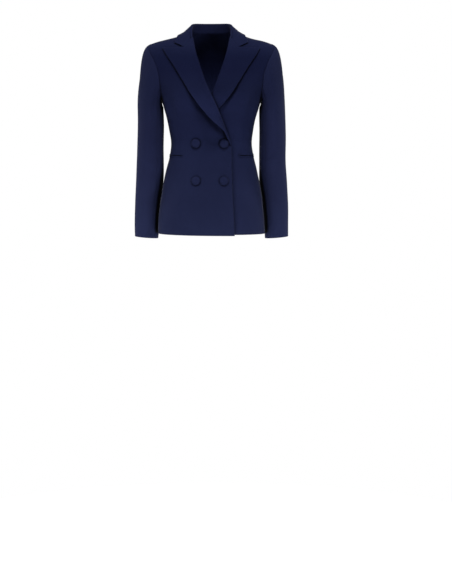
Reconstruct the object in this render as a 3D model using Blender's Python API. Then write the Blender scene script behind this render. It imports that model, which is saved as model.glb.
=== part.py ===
"""Double-breasted blazer in the shape it takes when it is worn, with nothing inside it.

The frame is +Z up, +X towards the wearer's left, with the front facing -Y. The origin is the
middle of the neck, level with the inner ends of the shoulder seams. Sizes are in millimetres
and become metres when a mesh is written. Most shapes are worked out for the wearer's left and
mirrored for the right. "Out" is the distance from the centre line towards the piece's own side.
"""
import math

import bmesh
import bpy
import numpy as np

MM = 0.001

# Walls and seams
CLOTH = 2.0
LAPEL_CLOTH = 3.0
LAPEL_CLOTH_AT_BREAK = 1.6
SEAM_HALF_GAP = 0.2

# Heights of the main lines
HEM_SIDE = -620.0
HEM_BACK = -622.0
HEM_EDGE_OVER = -623.0
HEM_EDGE_UNDER = -619.5
BREAK = -347.0
GORGE = -22.0
NECK_BACK = -6.0
SHOULDER_POINT = -38.0
ARM_BOTTOM = -216.0

# Where features fade out, and steps used to measure directions
SIDE_BLEND = 25.0
PROBE = 0.5
CAP_LEAVING_SHARE = 0.5
CAP_LEAVING_LEAST = 20.0
CAP_CENTRE_OUT = 30.0
SETTLE_SHARE = 0.22

# The body form: superellipse sections with their side line at Y = 0
ROUNDNESS = 2.2
BODY = (
    # height, half width, depth in front, depth behind
    (60, 8, 10, 30),
    (0, 62, 30, 46),
    (-10, 89, 34, 52),
    (-20, 118, 41, 59),
    (-38, 183, 56, 71),
    (-50, 203, 67, 80),
    (-70, 208.5, 80, 90),
    (-97, 207, 92, 100),
    (-125, 200, 103, 107),
    (-153, 190, 112, 111),
    (-177, 176, 118, 111.5),
    (-200, 160, 121, 110),
    (-218, 150, 122, 107.5),
    (-240, 142.4, 120, 101),
    (-270, 134.5, 111.5, 92),
    (-301, 129, 102, 84.5),
    (-341, 124, 94, 79),
    (-379, 128.7, 95.5, 82),
    (-425, 139.5, 100, 96),
    (-465, 148, 106, 110),
    (-492, 153.3, 109.5, 116.5),
    (-518, 157.4, 112, 120),
    (-545, 160.2, 114, 122),
    (-580, 163.2, 116, 123),
    (-640, 164.6, 118, 124),
)
RELIEF = (
    # side (-1 front, 1 back), out, height, spread, rise
    (-1, 82, -212, 40, 7),
    (1, 85, -150, 45, 4),
    (1, 0, -330, 40, -3),
)

# The armhole, round an angle that is 0 at the shoulder and 180 under the arm
ARM_FRONT_REACH = 66.0
ARM_BACK_REACH = 58.0
ARM_FRONT_PITCH = 0.30
ARM_BACK_PITCH = 0.15
ARM_FRONT_STEPS = 9
ARM_SIDE_STEPS = 4
ARM_CORNER = 140.0

# Vertical seams: angle round the body at the armhole and at the hem
FRONT_SEAM = (69.0, 71.0)
BACK_SEAM = (110.0, 116.0)
SEAM_STEPS = 15
EDGE_STEPS = 8
ROLL_STEPS = 12
NECK_STEPS = 4
SHOULDER_STEPS = 8

# The folded edge of a lapel, from the collar down to the break, as it shows from the front
FOLD = (
    # height, out, fold radius over, fold radius under
    (-20, 55.8, 2.4, 2.4),
    (-54, 49.0, 2.6, 2.6),
    (-87, 39.5, 2.9, 2.8),
    (-118, 29.5, 3.3, 2.9),
    (-149, 18.5, 3.9, 2.9),
    (-192, 0.0, 4.6, 2.5),
    (-241, -22.5, 5.0, 2.5),
    (-290, -41.5, 3.8, 2.4),
    (-318, -52.0, 2.6, 2.0),
    (-334, -57.2, 1.8, 1.6),
    (-347, -60.6, 1.3, 1.3),
)
FRONT_EDGE = (
    # height, out
    (-347, -60.6),
    (-366, -61.7),
    (-408, -62.2),
    (-484, -63.3),
    (-630, -65.5),
)
LAPEL_OUTLINE = (
    # out, height, lift off the chest over, lift under
    (-55.5, -346, 3.0, 3.4),
    (-54.2, -338.5, 4.0, 3.6),
    (-49.8, -329.5, 5.5, 4.0),
    (-45.4, -321, 7.5, 4.2),
    (-41.5, -311, 9.5, 4.4),
    (-36.5, -300.3, 12.5, 4.5),
    (-19.4, -280, 17.0, 4.8),
    (3.3, -256.4, 19.0, 5.2),
    (25.9, -232.8, 16.5, 6.0),
    (38.8, -218.5, 13.5, 6.5),
    (58.5, -192.3, 9.0, 6.5),
    (84.9, -151.7, 5.5, 5.5),
    (111.6, -109.5, 4.6, 4.6),
    (140.5, -65.5, 4.5, 4.5),
    (147.2, -53.2, 4.5, 4.5),
)
NOTCH = (82.4, -51.5)
LEAF_LIFT = 4.5
SPRING_SHARE = 0.4
FOLD_CLEARANCE = 0.6
FOLD_STEPS = 7
GORGE_STEPS = 4
PEAK_STEPS = 4

# How far the left front tucks in under the right one
TUCK_ALL = 4.0
TUCK_LAPEL = 6.0

# The collar, station by station from the gorge to the centre back
COLLAR = (
    # top of the fold: x, y, z; outer edge: x, y, z
    (57.0, -43.5, -21.0, 110.5, -45.0, -39.0),
    (58.6, -31.0, -7.5, 108.0, -36.0, -31.0),
    (59.2, -21.0, 2.5, 105.0, -26.0, -23.5),
    (59.2, -10.0, 10.5, 102.0, -14.0, -17.5),
    (58.8, 4.0, 18.5, 99.5, 3.0, -14.5),
    (52.6, 24.0, 23.5, 89.0, 33.0, -15.5),
    (39.5, 36.0, 25.0, 66.0, 48.5, -17.0),
    (21.0, 43.5, 25.3, 34.0, 56.0, -18.0),
    (0.0, 45.8, 25.5, 0.0, 58.0, -18.5),
)
COLLAR_END_STEPS = 3
STAND_SHARE = 3.0 / 7.0
STAND_FULL = 12.0
COLLAR_RADIUS = 2.4
END_FADE = 3.0

# Sleeves
BICEP = -235.0
SLEEVE = (
    # height, centre y, inner edge x, outer edge x, half depth
    (-235, 4, 148.5, 227.0, 62),
    (-300, 7, 148.4, 228.1, 58),
    (-370, 11, 148.6, 229.8, 54),
    (-430, 16, 148.7, 232.2, 51),
    (-480, 24, 151.4, 234.8, 49.5),
    (-510, 30, 155.8, 236.4, 48.5),
    (-540, 34, 159.4, 237.4, 47.5),
    (-600, 37, 164.0, 238.2, 46.5),
    (-636, 38, 167.6, 238.4, 45.5),
)
CUFF = -634.0
CUFF_TILT = 2.8
TURN_TOP = 5.0
TURN_RANGE = 100.0
TURN_GROWTH = 1.3
CAP_STEPS = 8
ARM_STEPS = 9
UNDER_FROM = 8
UNDER_TO = 14

# Pockets and buttons
POCKET_HEIGHT = -379.0
POCKET_FROM = 39.0
POCKET_TO = 100.0
POCKET_DEPTH = 11.0
POCKET_SLIT = 1.4
POCKET_CLOTH = 1.2
POCKET_STAND_OFF = 0.9
BUTTON_RADIUS = 14.5
BUTTON_DEPTH = 5.0
BUTTON_STAND_OFF = 0.5
BUTTONS = (
    # name, x, height
    ("button_upper_inner", -46.5, -342),
    ("button_upper_edge", 38.4, -342),
    ("button_lower_inner", -46.5, -456),
    ("button_lower_edge", 38.4, -456),
)

NAVY = (0.012, 0.016, 0.048, 1.0)
NAVY_SLEEVE = (0.016, 0.020, 0.056, 1.0)
NAVY_BUTTON = (0.014, 0.018, 0.050, 1.0)


# ---------------------------------------------------------------- curves

def unit(vectors):
    """Scale each vector to length one."""
    return vectors / np.linalg.norm(vectors, axis=-1, keepdims=True)


def smooth_curve(keys, values):
    """Give a smooth function through the points that never overshoots them."""
    order = np.argsort(keys)
    keys = np.asarray(keys, float)[order]
    values = np.asarray(values, float)[order]
    steps = np.diff(keys)
    slopes = np.diff(values) / steps
    before, after = slopes[:-1], slopes[1:]
    turning = before * after <= 0
    total = np.where(turning, 1.0, before + after)
    middle = np.where(turning, 0.0, 2 * before * after / total)
    tangents = np.concatenate([slopes[:1], middle, slopes[-1:]])

    def curve(at):
        at = np.asarray(at, float)
        i = np.clip(np.searchsorted(keys, at) - 1, 0, len(steps) - 1)
        inside = np.clip(at, keys[0], keys[-1])
        t = (inside - keys[i]) / steps[i]
        rise = values[i] * ((2 * t - 3) * t * t + 1) + values[i + 1] * (3 - 2 * t) * t * t
        bend = steps[i] * (tangents[i] * (t - 1) ** 2 * t + tangents[i + 1] * (t - 1) * t * t)
        beyond = (at - inside) * np.where(at < inside, tangents[0], tangents[-1])
        return rise + bend + beyond

    return curve


def column(table, key, value):
    """Give one column of a table as a smooth function of another."""
    return smooth_curve([row[key] for row in table], [row[value] for row in table])


def ease(start, end, at):
    """Rise smoothly from 0 at start to 1 at end."""
    t = np.clip((at - start) / (end - start), 0, 1)
    return t * t * (3 - 2 * t)


def spread(points, count):
    """Share out count + 1 points evenly along a smooth line through the given ones."""
    points = np.asarray(points, float)
    lengths = np.linalg.norm(np.diff(points[:, :2], axis=0), axis=1)
    along = np.concatenate([[0], np.cumsum(lengths)]) / lengths.sum()
    at = np.linspace(0, 1, count + 1)
    return np.stack([smooth_curve(along, points[:, i])(at) for i in range(points.shape[1])], 1)


def straight(start, end, count):
    """Share out count + 1 points along a straight line."""
    t = np.linspace(0, 1, count + 1)[:, None]
    return np.asarray(start, float) * (1 - t) + np.asarray(end, float) * t


# ---------------------------------------------------------------- the body form

HALF_WIDTH = column(BODY, 0, 1)
DEPTH_FRONT = column(BODY, 0, 2)
DEPTH_BACK = column(BODY, 0, 3)


def body_level(points):
    """Tell how far points are outside the body form; it is zero on the form."""
    x, y, z = points[..., 0], points[..., 1], points[..., 2]
    depth = np.where(y < 0, DEPTH_FRONT(z), DEPTH_BACK(z))
    return (np.abs(x) / HALF_WIDTH(z)) ** ROUNDNESS + (np.abs(y) / depth) ** ROUNDNESS - 1


def body_slope(points):
    """Give the direction in which body_level grows, with its rate."""
    sides = np.eye(3) * PROBE
    return np.stack(
        [(body_level(points + s) - body_level(points - s)) / (2 * PROBE) for s in sides], -1)


def on_body(points):
    """Bring points to the body form; give them with their outward normals."""
    points = np.array(points, float)
    for _ in range(8):
        slope = body_slope(points)
        square = (slope * slope).sum(-1, keepdims=True)
        points = points - body_level(points)[..., None] * slope / square
    return points, unit(body_slope(points))


def relief(points):
    """Give the rise of the bust, the shoulder blades and the hollow of the back."""
    total = np.zeros(points.shape[:-1])
    for side, out, height, reach, rise in RELIEF:
        distance = (np.abs(points[..., 0]) - out) ** 2 + (points[..., 2] - height) ** 2
        facing = ease(0, SIDE_BLEND, side * points[..., 1])
        total += rise * facing * np.exp(-distance / (2 * reach ** 2))
    return total


def tuck(points):
    """Give how far the left front lies below the outer layer, as a negative rise."""
    out, z = points[..., 0], points[..., 2]
    whole = TUCK_ALL * (1 - ease(65, 100, out)) * ease(140, 200, -z)
    lapel = TUCK_LAPEL * (1 - ease(20, 75, out)) * ease(140, 205, -z) * (1 - ease(355, 400, -z))
    return -(whole + lapel) * ease(0, SIDE_BLEND, -points[..., 1])


def skin(points, under=False, lift=0.0):
    """Bring points to the middle of the cloth, or a lift above it; give them with normals."""
    base, normals = on_body(points)
    rise = relief(base) + lift
    if under:
        rise = rise + tuck(base)
    return base + normals * np.asarray(rise)[..., None], normals


def in_front(out, height):
    """Give the point of the body's front that shows at a place in the front view."""
    share = 1 - (np.abs(out) / HALF_WIDTH(height)) ** ROUNDNESS
    y = -DEPTH_FRONT(height) * np.clip(share, 0, 1) ** (1 / ROUNDNESS)
    return np.stack([out, y, height], -1)


def round_body(angle, height):
    """Give the point of the body form at an angle from the centre front, in degrees."""
    power = 2 / ROUNDNESS
    angle = np.radians(angle)
    depth = np.where(np.cos(angle) > 0, DEPTH_FRONT(height), DEPTH_BACK(height))
    x = HALF_WIDTH(height) * np.abs(np.sin(angle)) ** power
    y = -np.sign(np.cos(angle)) * depth * np.abs(np.cos(angle)) ** power
    return np.stack([x, y, height + 0 * x], -1)


# ---------------------------------------------------------------- lines shared by the pieces

def arm_angles():
    """Give the angles of the points round the armhole, from the shoulder forwards."""
    front = np.linspace(0, ARM_CORNER, ARM_FRONT_STEPS + 1)
    side = np.linspace(ARM_CORNER, 360 - ARM_CORNER, ARM_SIDE_STEPS + 1)[1:]
    back = np.linspace(360 - ARM_CORNER, 360, ARM_FRONT_STEPS + 1)[1:]
    return np.concatenate([front, side, back])


def arm_line(angles):
    """Give the armhole seam on the body form."""
    turn = np.radians(angles)
    middle = (SHOULDER_POINT + ARM_BOTTOM) / 2
    z = middle + (SHOULDER_POINT - ARM_BOTTOM) / 2 * np.cos(turn)
    front = -ARM_FRONT_REACH * (1 - ARM_FRONT_PITCH * np.cos(turn))
    back = -ARM_BACK_REACH * (1 - ARM_BACK_PITCH * np.cos(turn))
    y = np.where(angles <= 180, front, back) * np.sin(turn)
    depth = np.where(y < 0, DEPTH_FRONT(z), DEPTH_BACK(z))
    share = 1 - (np.abs(y) / depth) ** ROUNDNESS
    return np.stack([HALF_WIDTH(z) * share ** (1 / ROUNDNESS), y, z], -1)


def seam_line(angles, corner):
    """Give a vertical seam from the hem up to its corner on the armhole."""
    z = np.linspace(HEM_SIDE, corner[2], SEAM_STEPS + 1)
    share = np.linspace(1, 0, SEAM_STEPS + 1)
    line = round_body(angles[0] + (angles[1] - angles[0]) * share, z)
    line[-1] = corner
    return line


def roll_line(under):
    """Give the line where a front turns over into its lapel, with its fold radii."""
    z = np.linspace(BREAK, GORGE, ROLL_STEPS + 1)
    fold = column(FOLD, 0, 1)
    radius = column(FOLD, 0, 3 if under else 2)(z)
    slope = (fold(z + 1) - fold(z - 1)) / 2
    half = lapel_cloth(ROLL_STEPS + 1) / 2
    out = fold(z) + (radius + half) * np.sqrt(1 + slope ** 2)
    return in_front(out, z), radius


def lapel_cloth(rows):
    """Give the lapel's wall, which is thinner at the break."""
    share = ease(0, 0.2, np.linspace(0, 1, rows))
    return LAPEL_CLOTH_AT_BREAK + (LAPEL_CLOTH - LAPEL_CLOTH_AT_BREAK) * share


def front_neck_line():
    """Give the neck seam from the gorge to the inner end of the shoulder seam."""
    share = np.linspace(0, 1, NECK_STEPS + 1)
    z = GORGE * (1 - share) ** 1.6
    start = roll_line(False)[0][-1][0]
    return in_front(start + (HALF_WIDTH(0.0) - start) * share, z)


def back_neck_line():
    """Give the neck seam from the centre back to the inner end of the shoulder seam."""
    turn = np.linspace(np.pi / 2, 0, NECK_STEPS + 1)
    x = HALF_WIDTH(0.0) * np.cos(turn)
    z = NECK_BACK * np.sin(turn)
    share = np.clip(1 - (x / HALF_WIDTH(z)) ** ROUNDNESS, 0, 1)
    return np.stack([x, DEPTH_BACK(z) * share ** (1 / ROUNDNESS), z], -1)


def shoulder_line():
    """Give the shoulder seam from the neck to the armhole."""
    z = np.linspace(0, SHOULDER_POINT, SHOULDER_STEPS + 1)
    return np.stack([HALF_WIDTH(z), 0 * z, z], -1)


# ---------------------------------------------------------------- nets of points

def patch(left, right, low, high):
    """Fill four edges, given as rows of points, with a net."""
    v = np.linspace(0, 1, len(left))[:, None, None]
    u = np.linspace(0, 1, len(low))[None, :, None]
    ruled = left[:, None] * (1 - u) + right[:, None] * u
    low_bulge = low[None] - (low[0] * (1 - u) + low[-1] * u)
    high_bulge = high[None] - (high[0] * (1 - u) + high[-1] * u)
    return ruled + (1 - v) * low_bulge + v * high_bulge


def net_normals(net):
    """Give the normals of a net from its own points."""
    return unit(np.cross(np.gradient(net, axis=1), np.gradient(net, axis=0)))


def open_seams(net, sides):
    """Draw the edges of a net in by half a seam's gap."""
    result = net.copy()
    ends = {"left": (1, 0), "right": (1, -1), "low": (0, 0), "high": (0, -1)}
    for side in sides:
        axis, edge = ends[side]
        lines, moved = np.moveaxis(net, axis, 0), np.moveaxis(result, axis, 0)
        along = unit(np.gradient(lines[edge], axis=0))
        inward = lines[1 if edge == 0 else -2] - lines[edge]
        inward = inward - along * (inward * along).sum(-1, keepdims=True)
        moved[edge] += unit(inward) * SEAM_HALF_GAP
    return result


def arm_seam():
    """Give the armhole's points, the sleeve's starting directions and the shared normals."""
    angles = arm_angles()
    points, normals = skin(arm_line(angles))
    ahead = skin(arm_line((angles + PROBE) % 360))[0]
    behind = skin(arm_line((angles - PROBE) % 360))[0]
    across = unit(np.cross(ahead - behind, normals))
    centre = points.mean(axis=0) + np.array([CAP_CENTRE_OUT, 0, 0])
    across *= np.sign(((centre - points) * across).sum(-1))[:, None]
    share = (1 - np.cos(np.radians(angles))) / 2
    turn = np.radians(TURN_TOP + TURN_RANGE * share ** TURN_GROWTH)[:, None]
    leaving = np.cos(turn) * across + np.sin(turn) * normals
    sleeve_normals = np.cos(turn) * normals - np.sin(turn) * across
    shared = unit(normals + sleeve_normals) / np.cos(turn / 2)
    return angles, points, leaving, shared


def front_net(under):
    """Give a front's net on the wearer's left, with its normals."""
    angles = arm_angles()[ARM_FRONT_STEPS::-1]
    arm = arm_line(angles)
    roll = roll_line(under)[0]
    hem_edge = HEM_EDGE_UNDER if under else HEM_EDGE_OVER
    z = np.linspace(hem_edge, BREAK, EDGE_STEPS + 1)
    edge = in_front(column(FRONT_EDGE, 0, 1)(z), z)
    edge[-1] = roll[0]
    neck = front_neck_line()
    neck[0] = roll[-1]
    left = np.concatenate([edge, roll[1:], neck[1:]])
    right = np.concatenate([seam_line(FRONT_SEAM, arm[0]), arm[1:]])
    share = np.linspace(0, 1, SHOULDER_STEPS + 1)
    hem_z = hem_edge + (HEM_SIDE - hem_edge) * share
    start = math.degrees(math.asin((abs(edge[0][0]) / HALF_WIDTH(hem_edge)) ** (ROUNDNESS / 2)))
    hem_angles = -start + (FRONT_SEAM[1] + start) * share
    hem = round_body(np.abs(hem_angles), hem_z) * np.stack(
        [np.sign(hem_angles), 1 + 0 * share, 1 + 0 * share], -1)
    return skin(patch(left, right, hem, shoulder_line()), under)


def side_net():
    """Give the net of the panel under the arm."""
    angles = arm_angles()[ARM_FRONT_STEPS:ARM_FRONT_STEPS + ARM_SIDE_STEPS + 1]
    arm = arm_line(angles)
    left = seam_line(FRONT_SEAM, arm[0])
    right = seam_line(BACK_SEAM, arm[-1])
    share = np.linspace(0, 1, ARM_SIDE_STEPS + 1)
    hem = round_body(FRONT_SEAM[1] + (BACK_SEAM[1] - FRONT_SEAM[1]) * share, HEM_SIDE + 0 * share)
    return skin(patch(left, right, hem, arm))


def back_net():
    """Give the net of a back, from the centre seam to the side seam and armhole."""
    angles = arm_angles()[ARM_FRONT_STEPS + ARM_SIDE_STEPS:]
    arm = arm_line(angles)
    rows = SEAM_STEPS + ARM_FRONT_STEPS
    z = np.linspace(HEM_BACK, NECK_BACK, rows + 1)
    left = np.stack([0 * z, DEPTH_BACK(z), z], -1)
    right = np.concatenate([seam_line(BACK_SEAM, arm[0]), arm[1:]])
    share = np.linspace(0, 1, NECK_STEPS + SHOULDER_STEPS + 1)
    hem_z = HEM_BACK + (HEM_SIDE - HEM_BACK) * share
    hem = round_body(180 - (180 - BACK_SEAM[1]) * share, hem_z)
    high = np.concatenate([back_neck_line(), shoulder_line()[1:]])
    return skin(patch(left, right, hem, high))


def fold_path(base, along, outward, stand, radius, count):
    """Run from a base along a stand and round a half circle; give points and wall normals."""
    split = STAND_SHARE * min(1.0, stand / STAND_FULL)
    points, normals = [], []
    for w in np.linspace(0, 1, count + 1):
        if w < split:
            points.append(base + along * stand * w / split)
            normals.append(outward)
            continue
        turn = math.pi * (w - split) / (1 - split)
        centre = base + along * stand + outward * radius
        spoke = along * math.sin(turn) - outward * math.cos(turn)
        points.append(centre + spoke * radius)
        normals.append(-spoke)
    return np.array(points), np.array(normals)


def lapel_net(under):
    """Give a lapel's net from the roll line, round the fold and out to its edge."""
    line, radius = roll_line(under)
    base, normals = skin(line, under)
    inward = unit(np.cross(normals, np.gradient(base, axis=0)))
    inward *= np.where(inward[:, :1] > 0, -1.0, 1.0)
    folds = [
        fold_path(base[i], inward[i], normals[i], 0.0, radius[i], FOLD_STEPS)
        for i in range(len(base))]
    outline = spread(LAPEL_OUTLINE, ROLL_STEPS)
    roll = line[:, [0, 2]]
    notch, peak = np.array(NOTCH), outline[-1, :2]
    top = np.concatenate(
        [straight(roll[-1], notch, GORGE_STEPS), straight(notch, peak, PEAK_STEPS)[1:]])
    low = straight(roll[0], outline[0, :2], GORGE_STEPS + PEAK_STEPS)
    flat = patch(roll, outline[:, :2], low, top)
    share = np.linspace(0, 1, flat.shape[1])[None, :]
    edge_lift = outline[:, 3 if under else 2][:, None]
    spring = SPRING_SHARE * np.maximum(0, edge_lift - LEAF_LIFT)
    middle_lift = np.minimum(LEAF_LIFT + spring, (2 * radius + FOLD_CLEARANCE)[:, None])
    settle = np.exp(-(share / SETTLE_SHARE) ** 2)
    lift = 2 * radius[:, None] * settle + (1 - settle) * (
        middle_lift + (edge_lift - middle_lift) * share ** 1.5)
    leaf, leaf_normals = skin(in_front(flat[..., 0], flat[..., 1]), under, lift)
    net = np.concatenate([np.array([f[0] for f in folds]), leaf[:, 1:]], axis=1)
    wall_normals = net_normals(net)
    wall_normals *= np.sign((wall_normals[:, :1] * normals[:, None]).sum(-1, keepdims=True))
    wall_normals[:, :FOLD_STEPS + 1] = np.array([f[1] for f in folds])
    wall_normals[-1, FOLD_STEPS + 1:] = -leaf_normals[-1, 1:]
    return net, wall_normals


def collar_half(lapel, lapel_normals):
    """Give the left half of the collar's net, from the gorge to the centre back."""
    neck = np.concatenate([front_neck_line(), back_neck_line()[::-1][1:]])
    base, base_normals = skin(neck)
    base[0] = lapel[-1, 0]
    gorge = FOLD_STEPS + GORGE_STEPS + 1
    table = np.array(COLLAR)
    edge = skin(table[:, 3:], lift=LEAF_LIFT)[0]
    folds = [(lapel[-1, :FOLD_STEPS + 1], lapel_normals[-1, :FOLD_STEPS + 1])]
    for i in range(1, len(table)):
        rise = table[i, :3] - base[i]
        along = rise / np.linalg.norm(rise)
        outward = edge[i] - base[i]
        outward = unit(outward - along * outward.dot(along))
        stand = np.linalg.norm(rise) - COLLAR_RADIUS
        folds.append(fold_path(base[i], along, outward, stand, COLLAR_RADIUS, FOLD_STEPS))
    ends = np.array([f[0][-1] for f in folds])
    end_edge = np.concatenate(
        [lapel[-1, FOLD_STEPS:gorge],
         skin(straight(lapel[-1, gorge - 1], edge[0], COLLAR_END_STEPS)[1:], lift=LEAF_LIFT)[0]])
    across = np.linspace(0, 1, GORGE_STEPS + COLLAR_END_STEPS + 1)[:, None]
    leaf = ends[:, None] * (1 - across) + edge[:, None] * across
    fade = np.linspace(1, 0, len(table)) ** END_FADE
    leaf += fade[:, None, None] * (end_edge - leaf[0])
    ground, ground_normals = skin(leaf)
    height = ((leaf - ground) * ground_normals).sum(-1)
    short = np.maximum(0, LEAF_LIFT - height) * ease(0, 0.15, across.T)
    short[0, :GORGE_STEPS + 1] = 0
    leaf = leaf + ground_normals * short[..., None]
    net = np.concatenate([np.array([f[0] for f in folds]), leaf[:, 1:]], axis=1)
    fold_normals = np.array([f[1] for f in folds])
    bend = unit(base_normals + fold_normals[:, 0])
    bend /= (bend * base_normals).sum(-1, keepdims=True)
    fold_normals[:, 0] = bend
    return net, fold_normals, bend


def collar_net(lapel, lapel_normals):
    """Give the whole collar's net, from the right gorge to the left, with its normals."""
    half, fold_normals, _ = collar_half(lapel, lapel_normals)
    flip = np.array([-1.0, 1, 1])
    net = np.concatenate([half * flip, half[-2::-1]])
    normals = net_normals(net)
    towards = np.concatenate([fold_normals * flip, fold_normals[-2::-1]])
    normals *= np.sign((normals[:, 2:3] * towards[:, 2:3]).sum(-1, keepdims=True))
    normals[:, :FOLD_STEPS + 1] = towards
    gorge = FOLD_STEPS + GORGE_STEPS + 1
    ends = lapel_normals[-1, FOLD_STEPS + 1:gorge]
    normals[0, FOLD_STEPS + 1:gorge] = ends * flip
    normals[-1, FOLD_STEPS + 1:gorge] = ends
    return net, normals


SLEEVE_CURVES = [column(SLEEVE, 0, i) for i in range(1, 5)]


def sleeve_ring(angles, height):
    """Give the points of a sleeve's section; the angle is 0 outside and 90 in front."""
    y, inner, outer, half_depth = [curve(height) for curve in SLEEVE_CURVES]
    x, half_width = (inner + outer) / 2, (outer - inner) / 2
    turn = np.radians(angles)
    return np.stack(
        [x + half_width * np.cos(turn), y - half_depth * np.sin(turn), height + 0 * turn], -1)


def sleeve_net():
    """Give a whole sleeve's net from the armhole to the cuff, with its normals."""
    angles, start, leaving, shared = arm_seam()
    end = sleeve_ring(angles, BICEP + 0 * angles)
    falling = unit(sleeve_ring(angles, BICEP - PROBE + 0 * angles) - end)
    reach = np.linalg.norm(end - start, axis=-1, keepdims=True)
    rows = []
    for t in np.arange(CAP_STEPS) / CAP_STEPS:
        rows.append(
            start * (2 * t ** 3 - 3 * t ** 2 + 1) + end * (3 * t ** 2 - 2 * t ** 3)
            + leaving * np.maximum(CAP_LEAVING_SHARE * reach, CAP_LEAVING_LEAST) * (t ** 3 - 2 * t ** 2 + t)
            + falling * reach * (t ** 3 - t ** 2))
    cuff = CUFF + CUFF_TILT * np.cos(np.radians(angles))
    for t in np.linspace(0, 1, ARM_STEPS + 1):
        rows.append(sleeve_ring(angles, BICEP + (cuff - BICEP) * t))
    net = np.array(rows)
    wrapped = np.concatenate([net[:, -2:-1], net, net[:, 1:2]], axis=1)
    normals = net_normals(wrapped)[:, 1:-1]
    middle = net.mean(axis=1, keepdims=True)
    normals *= np.sign(((net - middle) * normals).sum(-1).mean())
    normals[0] = shared
    return net, normals


# ---------------------------------------------------------------- meshes

def material(name, colour, roughness):
    """Make a cloth finish."""
    result = bpy.data.materials.new(name)
    result.use_nodes = True
    shader = result.node_tree.nodes["Principled BSDF"]
    shader.inputs["Base Color"].default_value = colour
    shader.inputs["Roughness"].default_value = roughness
    shader.inputs["Metallic"].default_value = 0.0
    return result


def place(name, mesh_builder, colour):
    """Turn a finished bmesh into a named object with a finish of its own."""
    bmesh.ops.recalc_face_normals(mesh_builder, faces=mesh_builder.faces)
    mesh = bpy.data.meshes.new(name)
    mesh_builder.to_mesh(mesh)
    mesh_builder.free()
    mesh.shade_smooth()
    mesh.set_sharp_from_angle(angle=math.radians(40))
    mesh.materials.append(material(name + "_cloth", colour, 0.9))
    result = bpy.data.objects.new(name, mesh)
    bpy.context.scene.collection.objects.link(result)
    return result


def add_sheet(builder, points, flip):
    """Add a net of points as vertices and faces; give the vertices in rows."""
    rows = [[builder.verts.new(point * MM) for point in row] for row in points]
    for i in range(len(rows) - 1):
        for j in range(len(rows[0]) - 1):
            ring = [rows[i][j], rows[i][j + 1], rows[i + 1][j + 1], rows[i + 1][j]]
            builder.faces.new(ring[::-1] if flip else ring)
    return rows


def rim(rows):
    """Give a net's border as a loop of vertices."""
    sides = rows[0][:-1] + [row[-1] for row in rows[:-1]]
    return sides + rows[-1][:0:-1] + [row[0] for row in rows[:0:-1]]


def wall(name, net, normals, thickness, colour, mirrored):
    """Make a closed wall round a net of points in the middle of the cloth."""
    scale = np.array([-1.0 if mirrored else 1.0, 1, 1])
    half = np.asarray(thickness) / 2
    if half.ndim:
        half = half[:, None, None]
    builder = bmesh.new()
    outer = rim(add_sheet(builder, (net + normals * half) * scale, mirrored))
    inner = rim(add_sheet(builder, (net - normals * half) * scale, not mirrored))
    for i in range(len(outer)):
        ends = sorted([i, (i + 1) % len(outer)], key=lambda k: tuple(outer[k].co)[::-1])
        low, high = ends
        builder.faces.new([outer[low], inner[low], inner[high]])
        builder.faces.new([outer[low], inner[high], outer[high]])
    return place(name, builder, colour)


def make_fronts(shared, bend):
    """Make both fronts; the wearer's right one lies over the left one."""
    for name, under in (("front_right", False), ("front_left", True)):
        net, normals = front_net(under)
        normals[SEAM_STEPS:, -1] = shared[ARM_FRONT_STEPS::-1]
        normals[-1 - NECK_STEPS:, 0] = bend[:NECK_STEPS + 1]
        net = open_seams(net, ("left", "right", "high"))
        wall(name, net, normals, CLOTH, NAVY, not under)


def make_sides_and_backs(shared, bend):
    """Make the panels under the arms and the two backs."""
    corner = ARM_FRONT_STEPS + ARM_SIDE_STEPS
    for side in ("right", "left"):
        net, normals = side_net()
        normals[-1] = shared[ARM_FRONT_STEPS:corner + 1]
        net = open_seams(net, ("left", "right", "high"))
        wall("side_" + side, net, normals, CLOTH, NAVY, side == "right")
        net, normals = back_net()
        normals[SEAM_STEPS:, -1] = shared[corner:]
        normals[-1, :NECK_STEPS + 1] = bend[:NECK_STEPS - 1:-1]
        net = open_seams(net, ("left", "right", "high"))
        wall("back_" + side, net, normals, CLOTH, NAVY, side == "right")


def make_sleeves():
    """Make the top and under pieces of both sleeves."""
    net, normals = sleeve_net()
    around = net.shape[1] - 1
    order = list(range(UNDER_TO, around)) + list(range(0, UNDER_FROM + 1))
    for side in ("right", "left"):
        for part, columns in (("top", order), ("under", range(UNDER_FROM, UNDER_TO + 1))):
            columns = list(columns)
            piece = open_seams(net[:, columns], ("left", "right", "low"))
            wall("sleeve_%s_%s" % (part, side), piece, normals[:, columns], CLOTH,
                 NAVY_SLEEVE, side == "right")


def make_lapels_and_collar():
    """Make the lapels and the collar that joins them; give the neck seam's shared normals."""
    for name, under in (("lapel_right", False), ("lapel_left", True)):
        net, normals = lapel_net(under)
        thickness = lapel_cloth(len(net))
        wall(name, open_seams(net, ("left", "high")), normals, thickness, NAVY, not under)
    net, normals = lapel_net(False)
    whole, whole_normals = collar_net(net, normals)
    gap_sides = ("left", "low", "high")
    wall("collar", open_seams(whole, gap_sides), whole_normals, LAPEL_CLOTH, NAVY, False)
    return collar_half(net, normals)[2]


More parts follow.
